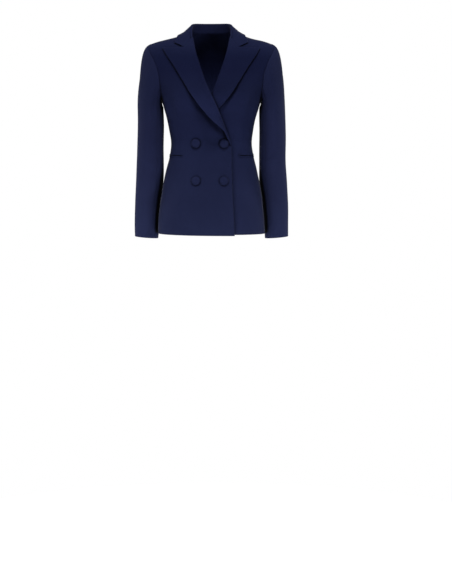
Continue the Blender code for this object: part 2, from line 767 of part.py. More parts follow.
def make_pockets():
    """Make the jetted pockets: a flat band with a slit, lying on the front and side panels."""
    angles = np.linspace(POCKET_FROM, POCKET_TO, 11)
    half_slit, half_depth = POCKET_SLIT / 2, POCKET_DEPTH / 2
    heights = (half_depth, half_slit, -half_slit, -half_depth)
    lift = CLOTH / 2 + POCKET_STAND_OFF + POCKET_CLOTH / 2
    for side in ("right", "left"):
        flip = np.array([-1.0 if side == "right" else 1.0, 1, 1])
        flat = np.array([round_body(angles, POCKET_HEIGHT + h + 0 * angles) for h in heights])
        middle, normals = skin(flat, lift=lift)
        builder = bmesh.new()
        layers = []
        for half in (POCKET_CLOTH / 2, -POCKET_CLOTH / 2):
            points = (middle + normals * half) * flip
            layers.append([[builder.verts.new(p * MM) for p in row] for row in points])
        last = len(angles) - 1
        cells = [(i, j) for i in range(3) for j in range(last) if i != 1 or j in (0, last - 1)]
        for layer in layers:
            for i, j in cells:
                builder.faces.new(
                    [layer[i][j], layer[i][j + 1], layer[i + 1][j + 1], layer[i + 1][j]])
        outer, inner = layers
        border = [(0, j) for j in range(last + 1)] + [(1, last), (2, last)]
        border += [(3, j) for j in range(last, -1, -1)] + [(2, 0), (1, 0)]
        slit = [(1, j) for j in range(1, last)] + [(2, j) for j in range(last - 1, 0, -1)]
        for loop in (border, slit):
            for here, there in zip(loop, loop[1:] + loop[:1]):
                builder.faces.new(
                    [outer[here[0]][here[1]], outer[there[0]][there[1]],
                     inner[there[0]][there[1]], inner[here[0]][here[1]]])
        place("pocket_" + side, builder, NAVY)


def make_buttons():
    """Make the four covered buttons, each a low dome square to the cloth."""
    profile = (
        # radius share, height share
        (0.78, 0.0), (0.95, 0.12), (1.0, 0.38), (0.93, 0.66), (0.72, 0.86), (0.40, 0.97),
    )
    steps = 16
    for name, x, height in BUTTONS:
        side = 1 if x > 0 else -1
        middle, normal = skin(in_front(np.array([float(abs(x))]), np.array([float(height)])))
        middle, normal = middle[0] * (side, 1, 1), normal[0] * (side, 1, 1)
        across = unit(np.cross(normal, (0.0, 0.0, 1.0)))
        upward = np.cross(across, normal)
        spokes = np.array([across, -across, upward, -upward]) * BUTTON_RADIUS
        around = skin((middle + spokes) * (side, 1, 1))[0] * (side, 1, 1)
        bulge = max(0.0, ((around - middle) @ normal).max())
        base = middle + normal * (CLOTH / 2 + BUTTON_STAND_OFF + bulge)
        builder = bmesh.new()
        rings = []
        for share, rise in profile:
            ring = []
            for k in range(steps):
                turn = 2 * math.pi * k / steps
                spoke = across * math.cos(turn) + upward * math.sin(turn)
                point = base + spoke * share * BUTTON_RADIUS + normal * rise * BUTTON_DEPTH
                ring.append(builder.verts.new(point * MM))
            rings.append(ring)
        top = builder.verts.new((base + normal * BUTTON_DEPTH) * MM)
        for k in range(steps):
            after = (k + 1) % steps
            for below, above in zip(rings, rings[1:]):
                builder.faces.new([below[k], below[after], above[after], above[k]])
            builder.faces.new([rings[-1][k], rings[-1][after], top])
        builder.faces.new(rings[0])
        place(name, builder, NAVY_BUTTON)


def main():
    for item in list(bpy.data.objects):
        bpy.data.objects.remove(item, do_unlink=True)
    shared = arm_seam()[3]
    bend = make_lapels_and_collar()
    make_fronts(shared, bend)
    make_sides_and_backs(shared, bend)
    make_sleeves()
    make_pockets()
    make_buttons()


main()
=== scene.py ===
"""Looks of the double-breasted blazer: thin cloth shells in the shape it takes when it is worn.

The frame is the solids' own: +Z up, +X towards the wearer's left, the front facing -Y, and the
origin in the middle of the neck. Sizes are in millimetres and become metres when a mesh is
written. Most shapes are worked out for the wearer's left and mirrored for the right. "Out" is
the distance from the centre line towards the piece's own side. Folds are placed one by one.
"""
import math

import bpy
import numpy as np
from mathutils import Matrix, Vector


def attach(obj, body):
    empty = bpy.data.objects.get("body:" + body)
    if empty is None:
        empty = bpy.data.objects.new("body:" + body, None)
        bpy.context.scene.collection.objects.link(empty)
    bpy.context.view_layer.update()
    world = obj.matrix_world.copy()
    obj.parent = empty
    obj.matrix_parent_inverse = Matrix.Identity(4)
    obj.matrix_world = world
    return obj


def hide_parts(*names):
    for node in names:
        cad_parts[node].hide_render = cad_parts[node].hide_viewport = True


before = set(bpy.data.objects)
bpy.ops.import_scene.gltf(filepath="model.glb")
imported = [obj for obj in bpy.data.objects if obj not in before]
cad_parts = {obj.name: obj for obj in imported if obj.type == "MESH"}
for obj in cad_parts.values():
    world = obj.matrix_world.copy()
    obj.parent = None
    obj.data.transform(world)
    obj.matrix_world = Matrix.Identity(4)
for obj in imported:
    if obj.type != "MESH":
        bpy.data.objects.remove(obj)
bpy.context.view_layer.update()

MM = 0.001
SIGN = {"right": -1, "left": 1}

# Cloth and seams
CLOTH = 1.5
LAPEL_EDGE_CLOTH = 2.3
COLLAR_CLOTH = 1.9
SEAM_HALF_GAP = 0.08
SEAM_DIP = 0.55
SEAM_REACH = 1.1
SEAM_REACH_LIMIT = 0.6
RIM_SHARE = 0.8
# Each edge of a net: its axis, its row, and the step towards the inside
EDGES = {"left": (1, 0, 1), "right": (1, -1, -1), "low": (0, 0, 1), "high": (0, -1, -1)}

# Heights of the main lines
HEM_SIDE = -620.0
HEM_BACK = -622.0
HEM_EDGE_OVER = -623.0
HEM_EDGE_UNDER = -619.5
BREAK = -347.0
GORGE = -22.0
NECK_BACK = -6.0
SHOULDER_POINT = -38.0
ARM_BOTTOM = -216.0

# Where features fade out, how lines curve, and steps used to measure directions
SIDE_BLEND = 25.0
PROBE = 0.5
PROJECTION_ROUNDS = 8
CAP_LEAVING_SHARE = 0.5
CAP_LEAVING_LEAST = 20.0
CAP_CENTRE_OUT = 30.0
NECK_CURVE = 1.6
LIFT_CURVE = 1.5
SETTLE_SHARE = 0.22

# The body form: superellipse sections with their side line at Y = 0
ROUNDNESS = 2.2
BODY = (
    # height, half width, depth in front, depth behind
    (60, 8, 10, 30),
    (0, 62, 30, 46),
    (-10, 89, 34, 52),
    (-20, 118, 41, 59),
    (-38, 183, 56, 71),
    (-50, 203, 67, 80),
    (-70, 208.5, 80, 90),
    (-97, 207, 92, 100),
    (-125, 200, 103, 107),
    (-153, 190, 112, 111),
    (-177, 176, 118, 111.5),
    (-200, 160, 121, 110),
    (-218, 150, 122, 107.5),
    (-240, 142.4, 120, 101),
    (-270, 134.5, 111.5, 92),
    (-301, 129, 102, 84.5),
    (-341, 124, 94, 79),
    (-379, 128.7, 95.5, 82),
    (-425, 139.5, 100, 96),
    (-465, 148, 106, 110),
    (-492, 153.3, 109.5, 116.5),
    (-518, 157.4, 112, 120),
    (-545, 160.2, 114, 122),
    (-580, 163.2, 116, 123),
    (-640, 164.6, 118, 124),
)
RELIEF = (
    # side (-1 front, 1 back), out, height, spread, rise
    (-1, 82, -212, 40, 7),
    (1, 85, -150, 45, 4),
    (1, 0, -330, 40, -3),
)

# How many steps of the surface there are for each main step
FINE = 6
LEAF_FINE = 4

# The armhole, round an angle that is 0 at the shoulder and 180 under the arm
ARM_FRONT_REACH = 66.0
ARM_BACK_REACH = 58.0
ARM_FRONT_PITCH = 0.30
ARM_BACK_PITCH = 0.15
ARM_FRONT_STEPS = 9 * FINE
ARM_SIDE_STEPS = 4 * FINE
ARM_CORNER = 140.0
ARM_CORNER_STEP = ARM_FRONT_STEPS + ARM_SIDE_STEPS

# Vertical seams: angle round the body at the armhole and at the hem
FRONT_SEAM = (69.0, 71.0)
BACK_SEAM = (110.0, 116.0)
SEAM_STEPS = 15 * FINE
EDGE_STEPS = 8 * FINE
ROLL_STEPS = 12 * FINE
NECK_STEPS = 4 * FINE
SHOULDER_STEPS = 8 * FINE
PANEL_SEAMS = ("left", "right", "high")

# The folded edge of a lapel, from the collar down to the break, as it shows from the front
FOLD = (
    # height, out, fold radius over, fold radius under
    (-20, 55.8, 2.4, 2.4),
    (-54, 49.0, 2.6, 2.6),
    (-87, 39.5, 2.9, 2.8),
    (-118, 29.5, 3.3, 2.9),
    (-149, 18.5, 3.9, 2.9),
    (-192, 0.0, 4.6, 2.5),
    (-241, -22.5, 5.0, 2.5),
    (-290, -41.5, 3.8, 2.4),
    (-318, -52.0, 2.6, 2.0),
    (-334, -57.2, 1.8, 1.6),
    (-347, -60.6, 1.3, 1.3),
)
FRONT_EDGE = (
    # height, out
    (-347, -60.6),
    (-366, -61.7),
    (-408, -62.2),
    (-484, -63.5),
    (-545, -67.2),
    (-630, -71.5),
)
LAPEL_OUTLINE = (
    # out, height, lift off the chest over, lift under
    (-55.5, -346, 3.0, 3.4),
    (-54.2, -338.5, 4.0, 3.6),
    (-49.8, -329.5, 5.5, 4.0),
    (-45.4, -321, 7.5, 4.2),
    (-41.5, -311, 9.5, 4.4),
    (-36.5, -300.3, 12.5, 4.5),
    (-19.4, -280, 17.0, 4.8),
    (3.3, -256.4, 19.0, 5.2),
    (25.9, -232.8, 16.5, 6.0),
    (38.8, -218.5, 13.5, 6.5),
    (58.5, -192.3, 9.0, 6.5),
    (84.9, -151.7, 5.5, 5.5),
    (111.6, -109.5, 4.6, 4.6),
    (140.5, -65.5, 4.5, 4.5),
    (147.2, -53.2, 4.5, 4.5),
)
NOTCH = (82.4, -51.5)
LEAF_LIFT = 4.5
SPRING_SHARE = 0.4
FOLD_CLEARANCE = 0.6
FOLD_STEPS = 14
GORGE_STEPS = 4 * LEAF_FINE
PEAK_STEPS = 4 * LEAF_FINE

# How far the left front tucks in under the right one, and where each tuck fades
TUCK_ALL = 4.0
TUCK_OUT = (65, 100)
TUCK_DOWN = (140, 200)
TUCK_LAPEL = 6.0
TUCK_LAPEL_OUT = (20, 75)
TUCK_LAPEL_DOWN = (140, 205)
TUCK_LAPEL_END = (355, 400)

# The collar, station by station from the gorge to the centre back
COLLAR = (
    # top of the fold: x, y, z; outer edge: x, y, z
    (57.0, -43.5, -21.0, 110.5, -45.0, -39.0),
    (58.6, -31.0, -7.5, 108.0, -36.0, -31.0),
    (59.2, -21.0, 2.5, 105.0, -26.0, -23.5),
    (59.2, -10.0, 10.5, 102.0, -14.0, -17.5),
    (58.8, 4.0, 18.5, 99.5, 3.0, -14.5),
    (52.6, 24.0, 23.5, 89.0, 33.0, -15.5),
    (39.5, 36.0, 25.0, 66.0, 48.5, -17.0),
    (21.0, 43.5, 25.3, 34.0, 56.0, -18.0),
    (0.0, 45.8, 25.5, 0.0, 58.0, -18.5),
)
COLLAR_END_STEPS = 3 * LEAF_FINE
COLLAR_REST_SHARE = 0.15
COLLAR_RIPPLE = 0.6
STAND_SHARE = 3.0 / 7.0
STAND_FULL = 12.0
COLLAR_RADIUS = 2.4
END_FADE = 3.0

# Sleeves
BICEP = -235.0
SLEEVE = (
    # height, centre y, inner edge x, outer edge x, half depth
    (-235, 4, 148.5, 227.0, 62),
    (-300, 7, 148.4, 228.1, 58),
    (-370, 11, 148.6, 229.8, 54),
    (-430, 16, 148.7, 232.2, 51),
    (-480, 24, 151.4, 234.8, 49.5),
    (-510, 30, 155.8, 236.4, 48.5),
    (-540, 34, 159.4, 237.4, 47.5),
    (-600, 37, 164.0, 238.2, 46.5),
    (-636, 38, 167.6, 238.4, 45.5),
)
CUFF = -634.0
CUFF_TILT = 2.8
TURN_TOP = 5.0
TURN_RANGE = 100.0
TURN_GROWTH = 1.3
CAP_STEPS = 8 * FINE
ARM_STEPS = 9 * FINE
UNDER_FROM = 8 * FINE
UNDER_TO = 14 * FINE
SLEEVE_SEAMS = ("left", "right", "low")

# Pockets, and below them the buttons
POCKET_HEIGHT = -379.0
POCKET_FROM = 39.0
POCKET_TO = 100.0
POCKET_DEPTH = 11.0
POCKET_SLIT = 3.4
# Half the welts' thickness at their lips and at their outer rims, and their gap to the front
WELT_LIP = 0.9
WELT_RIM = 0.1
WELT_REST = 0.14
WELT_CURVE = 1.5
WELT_COLUMNS = 60
WELT_ROWS = 7
WELT_BRIDGE = 2
WELT_TAPER = 5

BUTTON_RADIUS = 14.5
BUTTON_DEPTH = 5.0
BUTTON_STAND_OFF = 0.5
BUTTONS = (
    # name, x, height
    ("button_upper_inner", -46.5, -342),
    ("button_upper_edge", 38.4, -342),
    ("button_lower_inner", -46.5, -456),
    ("button_lower_edge", 38.4, -456),
)
BUTTON_PROFILE = (
    # radius share, height share
    (0.30, -0.06), (0.62, -0.05), (0.84, -0.03), (0.94, 0.0), (0.985, 0.06), (1.0, 0.14),
    (0.985, 0.24), (0.955, 0.30), (0.92, 0.28), (0.895, 0.27), (0.875, 0.34), (0.85, 0.50),
    (0.80, 0.66), (0.71, 0.81), (0.58, 0.91), (0.42, 0.97), (0.22, 0.995), (0.07, 1.0),
)
BUTTON_STEPS = 64
# The button cloth's gathers: how many, how deep, from which radius share, up to which height share
GATHERS = 16
GATHER_DEPTH = 0.006
GATHER_FROM = 0.6
GATHER_TOP = 0.5

# Folds and unevenness
RIPPLES = (
    # wave length along x, y and z, phase, size
    (310, 420, 190, 0.4, 0.55),
    (-170, 260, 330, 2.1, 0.45),
    (120, -300, 140, 4.0, 0.30),
    (-95, 150, 210, 1.2, 0.25),
    (70, 90, -115, 5.3, 0.16),
)
BODY_FOLDS = (
    # side (-1 front, 1 back), from x, from z, to x, to z, bow, reach, rise
    (-1, -128, -178, -112, -292, 3, 8, -1.5),
    (-1, -113, -185, -100, -282, 2, 9, 1.2),
    (-1, 129, -182, 111, -286, -3, 8, -1.3),
    (-1, 114, -190, 101, -276, -2, 9, 1.0),
    (-1, -100, -250, -100, -372, 0, 2.2, -0.7),
    (-1, 100, -250, 100, -372, 0, 2.2, -0.7),
    (-1, -66, -484, -34, -493, 2, 3.5, -0.9),
    (-1, -64, -478, -32, -484, 2, 4, 0.5),
    (-1, -20, -332, -96, -300, -3, 12, -0.8),
    (-1, -116, -326, -62, -352, 2, 10, -0.9),
    (-1, 117, -330, 66, -350, -2, 10, -0.8),
    (-1, -95, -480, -102, -612, 2, 17, 1.2),
    (-1, 100, -486, 108, -610, -2, 15, 1.0),
    (-1, 2, -500, -8, -614, 2, 20, -0.8),
    (1, -60, -52, 58, -55, 4, 13, 0.9),
    (1, -112, -316, -42, -350, 4, 9, -1.3),
    (1, -100, -346, -50, -372, 3, 8, 1.0),
    (1, 110, -312, 45, -352, -4, 9, -1.2),
    (1, 98, -344, 54, -368, -3, 8, 0.9),
    (1, -142, -150, -118, -276, 4, 10, 1.7),
    (1, -124, -160, -104, -262, 3, 9, -1.4),
    (1, 140, -146, 116, -270, -4, 10, 1.5),
    (1, 122, -158, 103, -258, -3, 9, -1.3),
    (1, -60, -480, -76, -612, 2, 16, 1.2),
    (1, 64, -470, 82, -612, -2, 16, 1.3),
)
SLEEVE_FOLDS = (
    # side (-1 right, 1 left), from angle, from z, to angle, to z, bow, reach, rise
    (-1, 112, -140, 100, -290, 4, 8, -1.8),
    (-1, 88, -150, 80, -280, 3, 10, 1.2),
    (1, 110, -142, 98, -284, -4, 8, -1.6),
    (1, 86, -148, 80, -270, -3, 10, 1.1),
    (-1, 55, -392, 140, -424, 4, 9, -1.8),
    (-1, 60, -372, 132, -396, 3, 10, 1.3),
    (-1, 70, -428, 145, -452, 3, 9, 1.0),
    (1, 58, -384, 138, -412, 4, 9, -1.7),
    (1, 66, -362, 130, -386, 3, 10, 1.2),
    (1, 72, -420, 142, -440, 3, 9, 1.0),
    (-1, 235, -376, 300, -420, 4, 11, -1.5),
    (-1, 228, -410, 290, -452, 3, 10, 1.2),
    (1, 236, -368, 302, -414, 4, 11, -1.5),
    (1, 230, -404, 292, -446, 3, 10, 1.2),
    (-1, 262, -150, 252, -300, 3, 11, -1.4),
    (1, 264, -146, 254, -296, -3, 11, -1.3),
    (-1, 30, -470, 22, -600, 2, 14, 0.9),
    (1, 34, -462, 24, -596, -2, 14, 0.9),
    (-1, 95, -500, 88, -612, 2, 12, -0.8),
    (1, 96, -494, 90, -606, -2, 12, -0.8),
)
# The hollow in the right front below its lapel
LAPEL_HOLLOW = (-60, -206, 52, -328, 0, 8.5, -4.2)
LEFT_CREASES = (
    # from x, from z, to x, to z, bow, reach, rise
    (92, -147, 16, -270, 0, 6.5, -2.8),  # the hollow below the left lapel
    (63.5, -265, 84, -760, -5, 6, -3.2),  # the dip beside the right front's edge
)
# The roll of the right front's edge
RIGHT_CREASES = ((58.5, -300, 80, -760, -5, 4, 0.9),)
LAPEL_SPRINGS = (
    # side (-1 right, 1 left), height, reach, rise of the lapel's edge
    (-1, -268.0, 38.0, 5.5),
    (-1, -125.0, 48.0, 1.0),
    (1, -125.0, 52.0, 2.0),
)
SPRING_FROM = 0.3
# How far the cloth dips round each button's rim
PUCKER = 1.3
PUCKER_REACH = 3.0
# The roll over the top of the sleeve's cap
CAP_ROLL = 1.3
CAP_ROLL_REACH = 9.0
# A sleeve fold's millimetres for each degree round the sleeve
DEGREE = 0.75
# A fold's width at its start and its growth, and where it rises and sinks along its length
FOLD_WIDTH = 0.75
FOLD_WIDENING = 0.5
FOLD_RISE = (-0.02, 0.3)
FOLD_SINK = (0.6, 1.0)
FOLD_BLEND = 20
ARM_HOLD = 30
ARM_SAMPLE = 3
# Where a lapel's cloth thickens towards its edge, and how that begins above the break
EDGE_GROWTH = (0.35, 1.0)
EDGE_GROWTH_LOW = (0.0, 0.12)

# The cloth's material, with its painted light and shade
SUITING_SHADER = (
    # socket, value
    ("Metallic", 0.0),
    ("Specular IOR Level", 0.04),
    ("Sheen Weight", 0.06),
    ("Sheen Roughness", 0.30),
    ("Sheen Tint", (0.80, 0.84, 1.0, 1.0)),
)
DYE = (
    # tone of the weave, colour
    (0.30, (0.0085, 0.0110, 0.038, 1.0)),
    (0.72, (0.0165, 0.0210, 0.068, 1.0)),
)
GRAIN = 900.0
TWILL_SHARE = 0.45
WEAVE_IN_YARN = 0.6
YARN_IN_TONE = 0.7
# Painted light and shade from the hem to the collar: the cloth's colour scaled by height
BODY_PAINTED_LIGHT = (
    # height in metres, red, green, blue
    (-0.61, 1.30, 1.32, 1.17),
    (-0.50, 1.20, 1.22, 1.10),
    (-0.43, 1.07, 1.09, 1.01),
    (-0.36, 1.00, 1.04, 1.00),
    (-0.31, 1.02, 1.06, 1.07),
    (-0.24, 0.96, 1.00, 1.03),
    (-0.17, 0.65, 0.69, 0.72),
    (-0.12, 0.51, 0.54, 0.63),
    (-0.08, 0.48, 0.53, 0.61),
    (-0.04, 0.72, 0.75, 0.75),
    (0.01, 0.74, 0.74, 0.74),
)
# Painted light and shade on the sleeves by height
SLEEVE_PAINTED_LIGHT = (
    # height in metres, red, green, blue
    (-0.63, 1.62, 1.62, 1.40),
    (-0.55, 1.52, 1.51, 1.30),
    (-0.42, 1.33, 1.30, 1.18),
    (-0.28, 1.17, 1.14, 1.06),
    (-0.15, 0.83, 0.85, 0.83),
    (-0.09, 0.86, 0.86, 0.82),
    (-0.05, 0.96, 0.95, 0.88),
)
# Painted light on the buttons by height, lighter lower down
BUTTON_PAINTED_LIGHT = (
    # height in metres, red, green, blue
    (-0.50, 1.20, 1.22, 1.10),
    (-0.30, 1.06, 1.08, 1.04),
)
# The painted light's factors are kept divided by this in their ramp and scaled back up
PAINTED_LIGHT_RANGE = 1.7
LOWEST, HIGHEST = -0.64, 0.03
# Painted shade: how far a crevice or a fold darkens its own colour by occlusion: reach, whether
# only its own piece, least light
SHADES = ((0.015, False, 0.02), (0.045, True, 0.03))
SHADE_FROM, SHADE_TO = 0.42, 0.90
SHADE_SAMPLES = 12

# Studio
CAMERA_EYE = (0.045, -6.0, -0.30)
CAMERA_AIM = (0.045, 0.0, -0.8035)
LENS = 119.3
SENSOR_HEIGHT = 36.0
FLOOR = -1.61
FLOOR_RADIUS = 1.1
FLOOR_SIDES = 96
LAMPS = (
    # name, x, y, z, height aimed at, width, height, power
    ("key_top", 0.0, -1.3, 2.05, -0.35, 0.6, 0.45, 46),
    ("key_left", 2.2, -2.2, 0.4, -0.35, 0.7, 0.9, 22),
    ("key_right", -2.2, -2.2, 0.4, -0.35, 0.7, 0.9, 5.5),
    ("top_right", -1.3, -1.0, 1.9, -0.35, 0.5, 0.5, 8),
    ("low_right", -1.5, -0.9, -1.2, -0.6, 0.7, 0.5, 3),
    ("low_left", 0.7, -1.5, -1.2, -0.6, 0.7, 0.5, 4.0),
    ("side_left", 2.4, -0.2, -0.6, -0.45, 0.8, 1.6, 3),
    ("side_right", -2.4, -0.2, -0.6, -0.45, 0.8, 1.6, 11),
    ("rim_left", 2.2, 1.0, 0.5, -0.25, 0.6, 1.2, 26),
    ("rim_right", -2.2, 1.0, 0.5, -0.25, 0.6, 1.2, 22),
    ("back", 0.4, 3.0, 0.7, -0.4, 1.2, 1.2, 26),
)
WORLD_STRENGTH = 0.094
BACKGROUND_STRENGTH = 1.0
WHITE = (1.0, 1.0, 1.0, 1.0)
FLOOR_SHADER = (
    # socket, value
    ("Base Color", (0.93, 0.93, 0.93, 1.0)),
    ("Roughness", 0.9),
    ("Emission Color", WHITE),
    ("Emission Strength", 1.3),
)


# --- curves

def unit(vectors):
    """Scale each vector to length one."""
    return vectors / np.linalg.norm(vectors, axis=-1, keepdims=True)


def shares(count):
    """Give count + 1 even shares from 0 to 1."""
    return np.linspace(0, 1, count + 1)


def cubic(t, start, end, leaving, arriving):
    """Run from a start to an end, with the directions of leaving and arriving."""
    return (start * (2 * t ** 3 - 3 * t ** 2 + 1) + end * (3 * t ** 2 - 2 * t ** 3)
            + leaving * (t ** 3 - 2 * t ** 2 + t) + arriving * (t ** 3 - t ** 2))


def smooth_curve(keys, values):
    """Give a smooth function through the points that never overshoots them."""
    order = np.argsort(keys)
    keys = np.asarray(keys, float)[order]
    values = np.asarray(values, float)[order]
    steps = np.diff(keys)
    slopes = np.diff(values) / steps
    before, after = slopes[:-1], slopes[1:]
    turning = before * after <= 0
    total = np.where(turning, 1.0, before + after)
    middle = np.where(turning, 0.0, 2 * before * after / total)
    tangents = np.hstack([slopes[:1], middle, slopes[-1:]])

    def curve(at):
        at = np.asarray(at, float)
        i = np.clip(np.searchsorted(keys, at) - 1, 0, len(steps) - 1)
        inside = np.clip(at, keys[0], keys[-1])
        t = (inside - keys[i]) / steps[i]
        within = cubic(
            t, values[i], values[i + 1], steps[i] * tangents[i], steps[i] * tangents[i + 1])
        return within + (at - inside) * np.where(at < inside, tangents[0], tangents[-1])

    return curve


def column(table, key, value):
    """Give one column of a table as a smooth function of another."""
    return smooth_curve([row[key] for row in table], [row[value] for row in table])


def ease(start, end, at):
    """Rise smoothly from 0 at start to 1 at end."""
    t = np.clip((at - start) / (end - start), 0, 1)
    return t * t * (3 - 2 * t)


def reread(keys, rows, at):
    """Read rows at new keys from a smooth line through the given rows."""
    return np.stack([smooth_curve(keys, values)(at) for values in np.transpose(rows)], 1)


def spread(points, count):
    """Share out count + 1 points evenly along a smooth line through the given ones."""
    lengths = np.linalg.norm(np.diff(np.array(points)[:, :2], axis=0), axis=1)
    return reread(np.hstack([0, np.cumsum(lengths)]) / lengths.sum(), points, shares(count))


# --- the body form

HALF_WIDTH = column(BODY, 0, 1)
DEPTH_FRONT = column(BODY, 0, 2)
DEPTH_BACK = column(BODY, 0, 3)


def depth_at(y, z):
    """Give the depth of the section at a height, on the side that y lies on."""
    return np.where(y < 0, DEPTH_FRONT(z), DEPTH_BACK(z))


def other_share(share):
    """Give how far a section reaches one way where it reaches a share of the other way."""
    return np.clip(1 - share ** ROUNDNESS, 0, 1) ** (1 / ROUNDNESS)


def body_level(points):
    """Tell how far points are outside the body form; it is zero on the form."""
    x, y, z = np.moveaxis(points, -1, 0)
    across, along = np.abs(x) / HALF_WIDTH(z), np.abs(y) / depth_at(y, z)
    return across ** ROUNDNESS + along ** ROUNDNESS - 1


def body_slope(points):
    """Give the direction in which body_level grows, with its rate."""
    sides = np.eye(3) * PROBE
    return np.stack(
        [(body_level(points + s) - body_level(points - s)) / (2 * PROBE) for s in sides], -1)


def on_body(points):
    """Bring points to the body form; give them with their outward normals."""
    points = np.array(points, float)
    for _ in range(PROJECTION_ROUNDS):
        slope = body_slope(points)
        square = (slope * slope).sum(-1, keepdims=True)
        points = points - body_level(points)[..., None] * slope / square
    return points, unit(body_slope(points))


def relief(points):
    """Give the rise of the bust, the shoulder blades and the hollow of the back."""
    total = np.zeros(points.shape[:-1])
    for side, out, height, reach, rise in RELIEF:
        distance = (np.abs(points[..., 0]) - out) ** 2 + (points[..., 2] - height) ** 2
        facing = ease(0, SIDE_BLEND, side * points[..., 1])
        total += rise * facing * np.exp(-distance / (2 * reach ** 2))
    return total


def tuck(points):
    """Give how far the left front lies below the outer layer, as a negative rise."""
    out, down = points[..., 0], -points[..., 2]
    whole = TUCK_ALL * (1 - ease(*TUCK_OUT, out)) * ease(*TUCK_DOWN, down)
    lapel = TUCK_LAPEL * (1 - ease(*TUCK_LAPEL_OUT, out)) * ease(*TUCK_LAPEL_DOWN, down)
    lapel = lapel * (1 - ease(*TUCK_LAPEL_END, down))
    return -(whole + lapel) * ease(0, SIDE_BLEND, -points[..., 1])


def skin(points, under=False, lift=0.0):
    """Bring points to the middle of the cloth, or a lift above it; give them with normals."""
    base, normals = on_body(points)
    rise = relief(base) + lift
    if under:
        rise = rise + tuck(base)
    return base + normals * np.asarray(rise)[..., None], normals


def in_front(out, height):
    """Give the point of the body's front that shows at a place in the front view."""
    y = -DEPTH_FRONT(height) * other_share(np.abs(out) / HALF_WIDTH(height))
    return np.stack([out, y, height], -1)


def round_body(angle, height):
    """Give the point of the body form at an angle from the centre front, in degrees."""
    out, back = np.sin(np.radians(angle)), -np.cos(np.radians(angle))
    x = HALF_WIDTH(height) * np.sign(out) * np.abs(out) ** (2 / ROUNDNESS)
    y = depth_at(back, height) * np.sign(back) * np.abs(back) ** (2 / ROUNDNESS)
    return np.stack([x, y, height + 0 * x], -1)


def body_line(angles, heights, count):
    """Share out count + 1 points on the body form between two angles and two heights."""
    return round_body(np.linspace(*angles, count + 1), np.linspace(*heights, count + 1))


def lifted(points, rise):
    """Lift points off the body form."""
    return points + unit(body_slope(points)) * rise[..., None]


# --- lines shared by the pieces

def arm_angles():
    """Give the angles of the points round the armhole, from the shoulder forwards."""
    corners = (0, ARM_FRONT_STEPS, ARM_CORNER_STEP, ARM_CORNER_STEP + ARM_FRONT_STEPS)
    return np.interp(np.arange(corners[-1] + 1), corners, (0, ARM_CORNER, 360 - ARM_CORNER, 360))


def arm_line(angles):
    """Give the armhole seam on the body form."""
    turn = np.radians(angles)
    middle = (SHOULDER_POINT + ARM_BOTTOM) / 2
    z = middle + (SHOULDER_POINT - ARM_BOTTOM) / 2 * np.cos(turn)
    front = -ARM_FRONT_REACH * (1 - ARM_FRONT_PITCH * np.cos(turn))
    back = -ARM_BACK_REACH * (1 - ARM_BACK_PITCH * np.cos(turn))
    y = np.where(angles <= 180, front, back) * np.sin(turn)
    x = HALF_WIDTH(z) * other_share(np.abs(y) / depth_at(y, z))
    return np.stack([x, y, z], -1)


def seam_line(angles, corner):
    """Give a vertical seam from the hem up to its corner on the armhole."""
    line = body_line(angles[::-1], (HEM_SIDE, corner[2]), SEAM_STEPS)
    line[-1] = corner
    return line


def roll_line(under):
    """Give the line where a front turns over into its lapel, with its fold radii."""
    z = np.linspace(BREAK, GORGE, ROLL_STEPS + 1)
    fold = column(FOLD, 0, 1)
    radius = column(FOLD, 0, 3 if under else 2)(z)
    slope = (fold(z + 1) - fold(z - 1)) / 2
    half = CLOTH / 2
    out = fold(z) + (radius + half) * np.sqrt(1 + slope ** 2)
    return in_front(out, z), radius


def front_neck_line():
    """Give the neck seam from the gorge to the inner end of the shoulder seam."""
    share = shares(NECK_STEPS)
    z = GORGE * (1 - share) ** NECK_CURVE
    start = roll_line(False)[0][-1][0]
    return in_front(start + (HALF_WIDTH(0.0) - start) * share, z)


def back_neck_line():
    """Give the neck seam from the centre back to the inner end of the shoulder seam."""
    turn = np.linspace(np.pi / 2, 0, NECK_STEPS + 1)
    x = HALF_WIDTH(0.0) * np.cos(turn)
    z = NECK_BACK * np.sin(turn)
    return np.stack([x, DEPTH_BACK(z) * other_share(x / HALF_WIDTH(z)), z], -1)


def shoulder_line():
    """Give the shoulder seam from the neck to the armhole."""
    z = np.linspace(0, SHOULDER_POINT, SHOULDER_STEPS + 1)
    return np.stack([HALF_WIDTH(z), 0 * z, z], -1)


# --- nets of points

def patch(left, right, low, high):
    """Fill four edges, given as rows of points, with a net."""
    v, u = shares(len(left) - 1)[:, None, None], shares(len(low) - 1)[None, :, None]
    ruled = left[:, None] * (1 - u) + right[:, None] * u
    low_bulge = low[None] - (low[0] * (1 - u) + low[-1] * u)
    high_bulge = high[None] - (high[0] * (1 - u) + high[-1] * u)
    return ruled + (1 - v) * low_bulge + v * high_bulge


def net_normals(net):
    """Give the normals of a net from its own points."""
    return unit(np.cross(np.gradient(net, axis=1), np.gradient(net, axis=0)))


def ring_normals(net):
    """Give the normals of a net whose rows are closed rings."""
    wrapped = np.hstack([net[:, -2:-1], net, net[:, 1:2]])
    return net_normals(wrapped)[:, 1:-1]


def open_seams(net, sides):
    """Draw the edges of a net in by half a seam's gap."""
    result = net.copy()
    for side in sides:
        axis, edge, step = EDGES[side]
        lines, moved = np.moveaxis(net, axis, 0), np.moveaxis(result, axis, 0)
        along = unit(np.gradient(lines[edge], axis=0))
        inward = lines[edge + step] - lines[edge]
        inward = inward - along * (inward * along).sum(-1, keepdims=True)
        moved[edge] += unit(inward) * SEAM_HALF_GAP
    return result


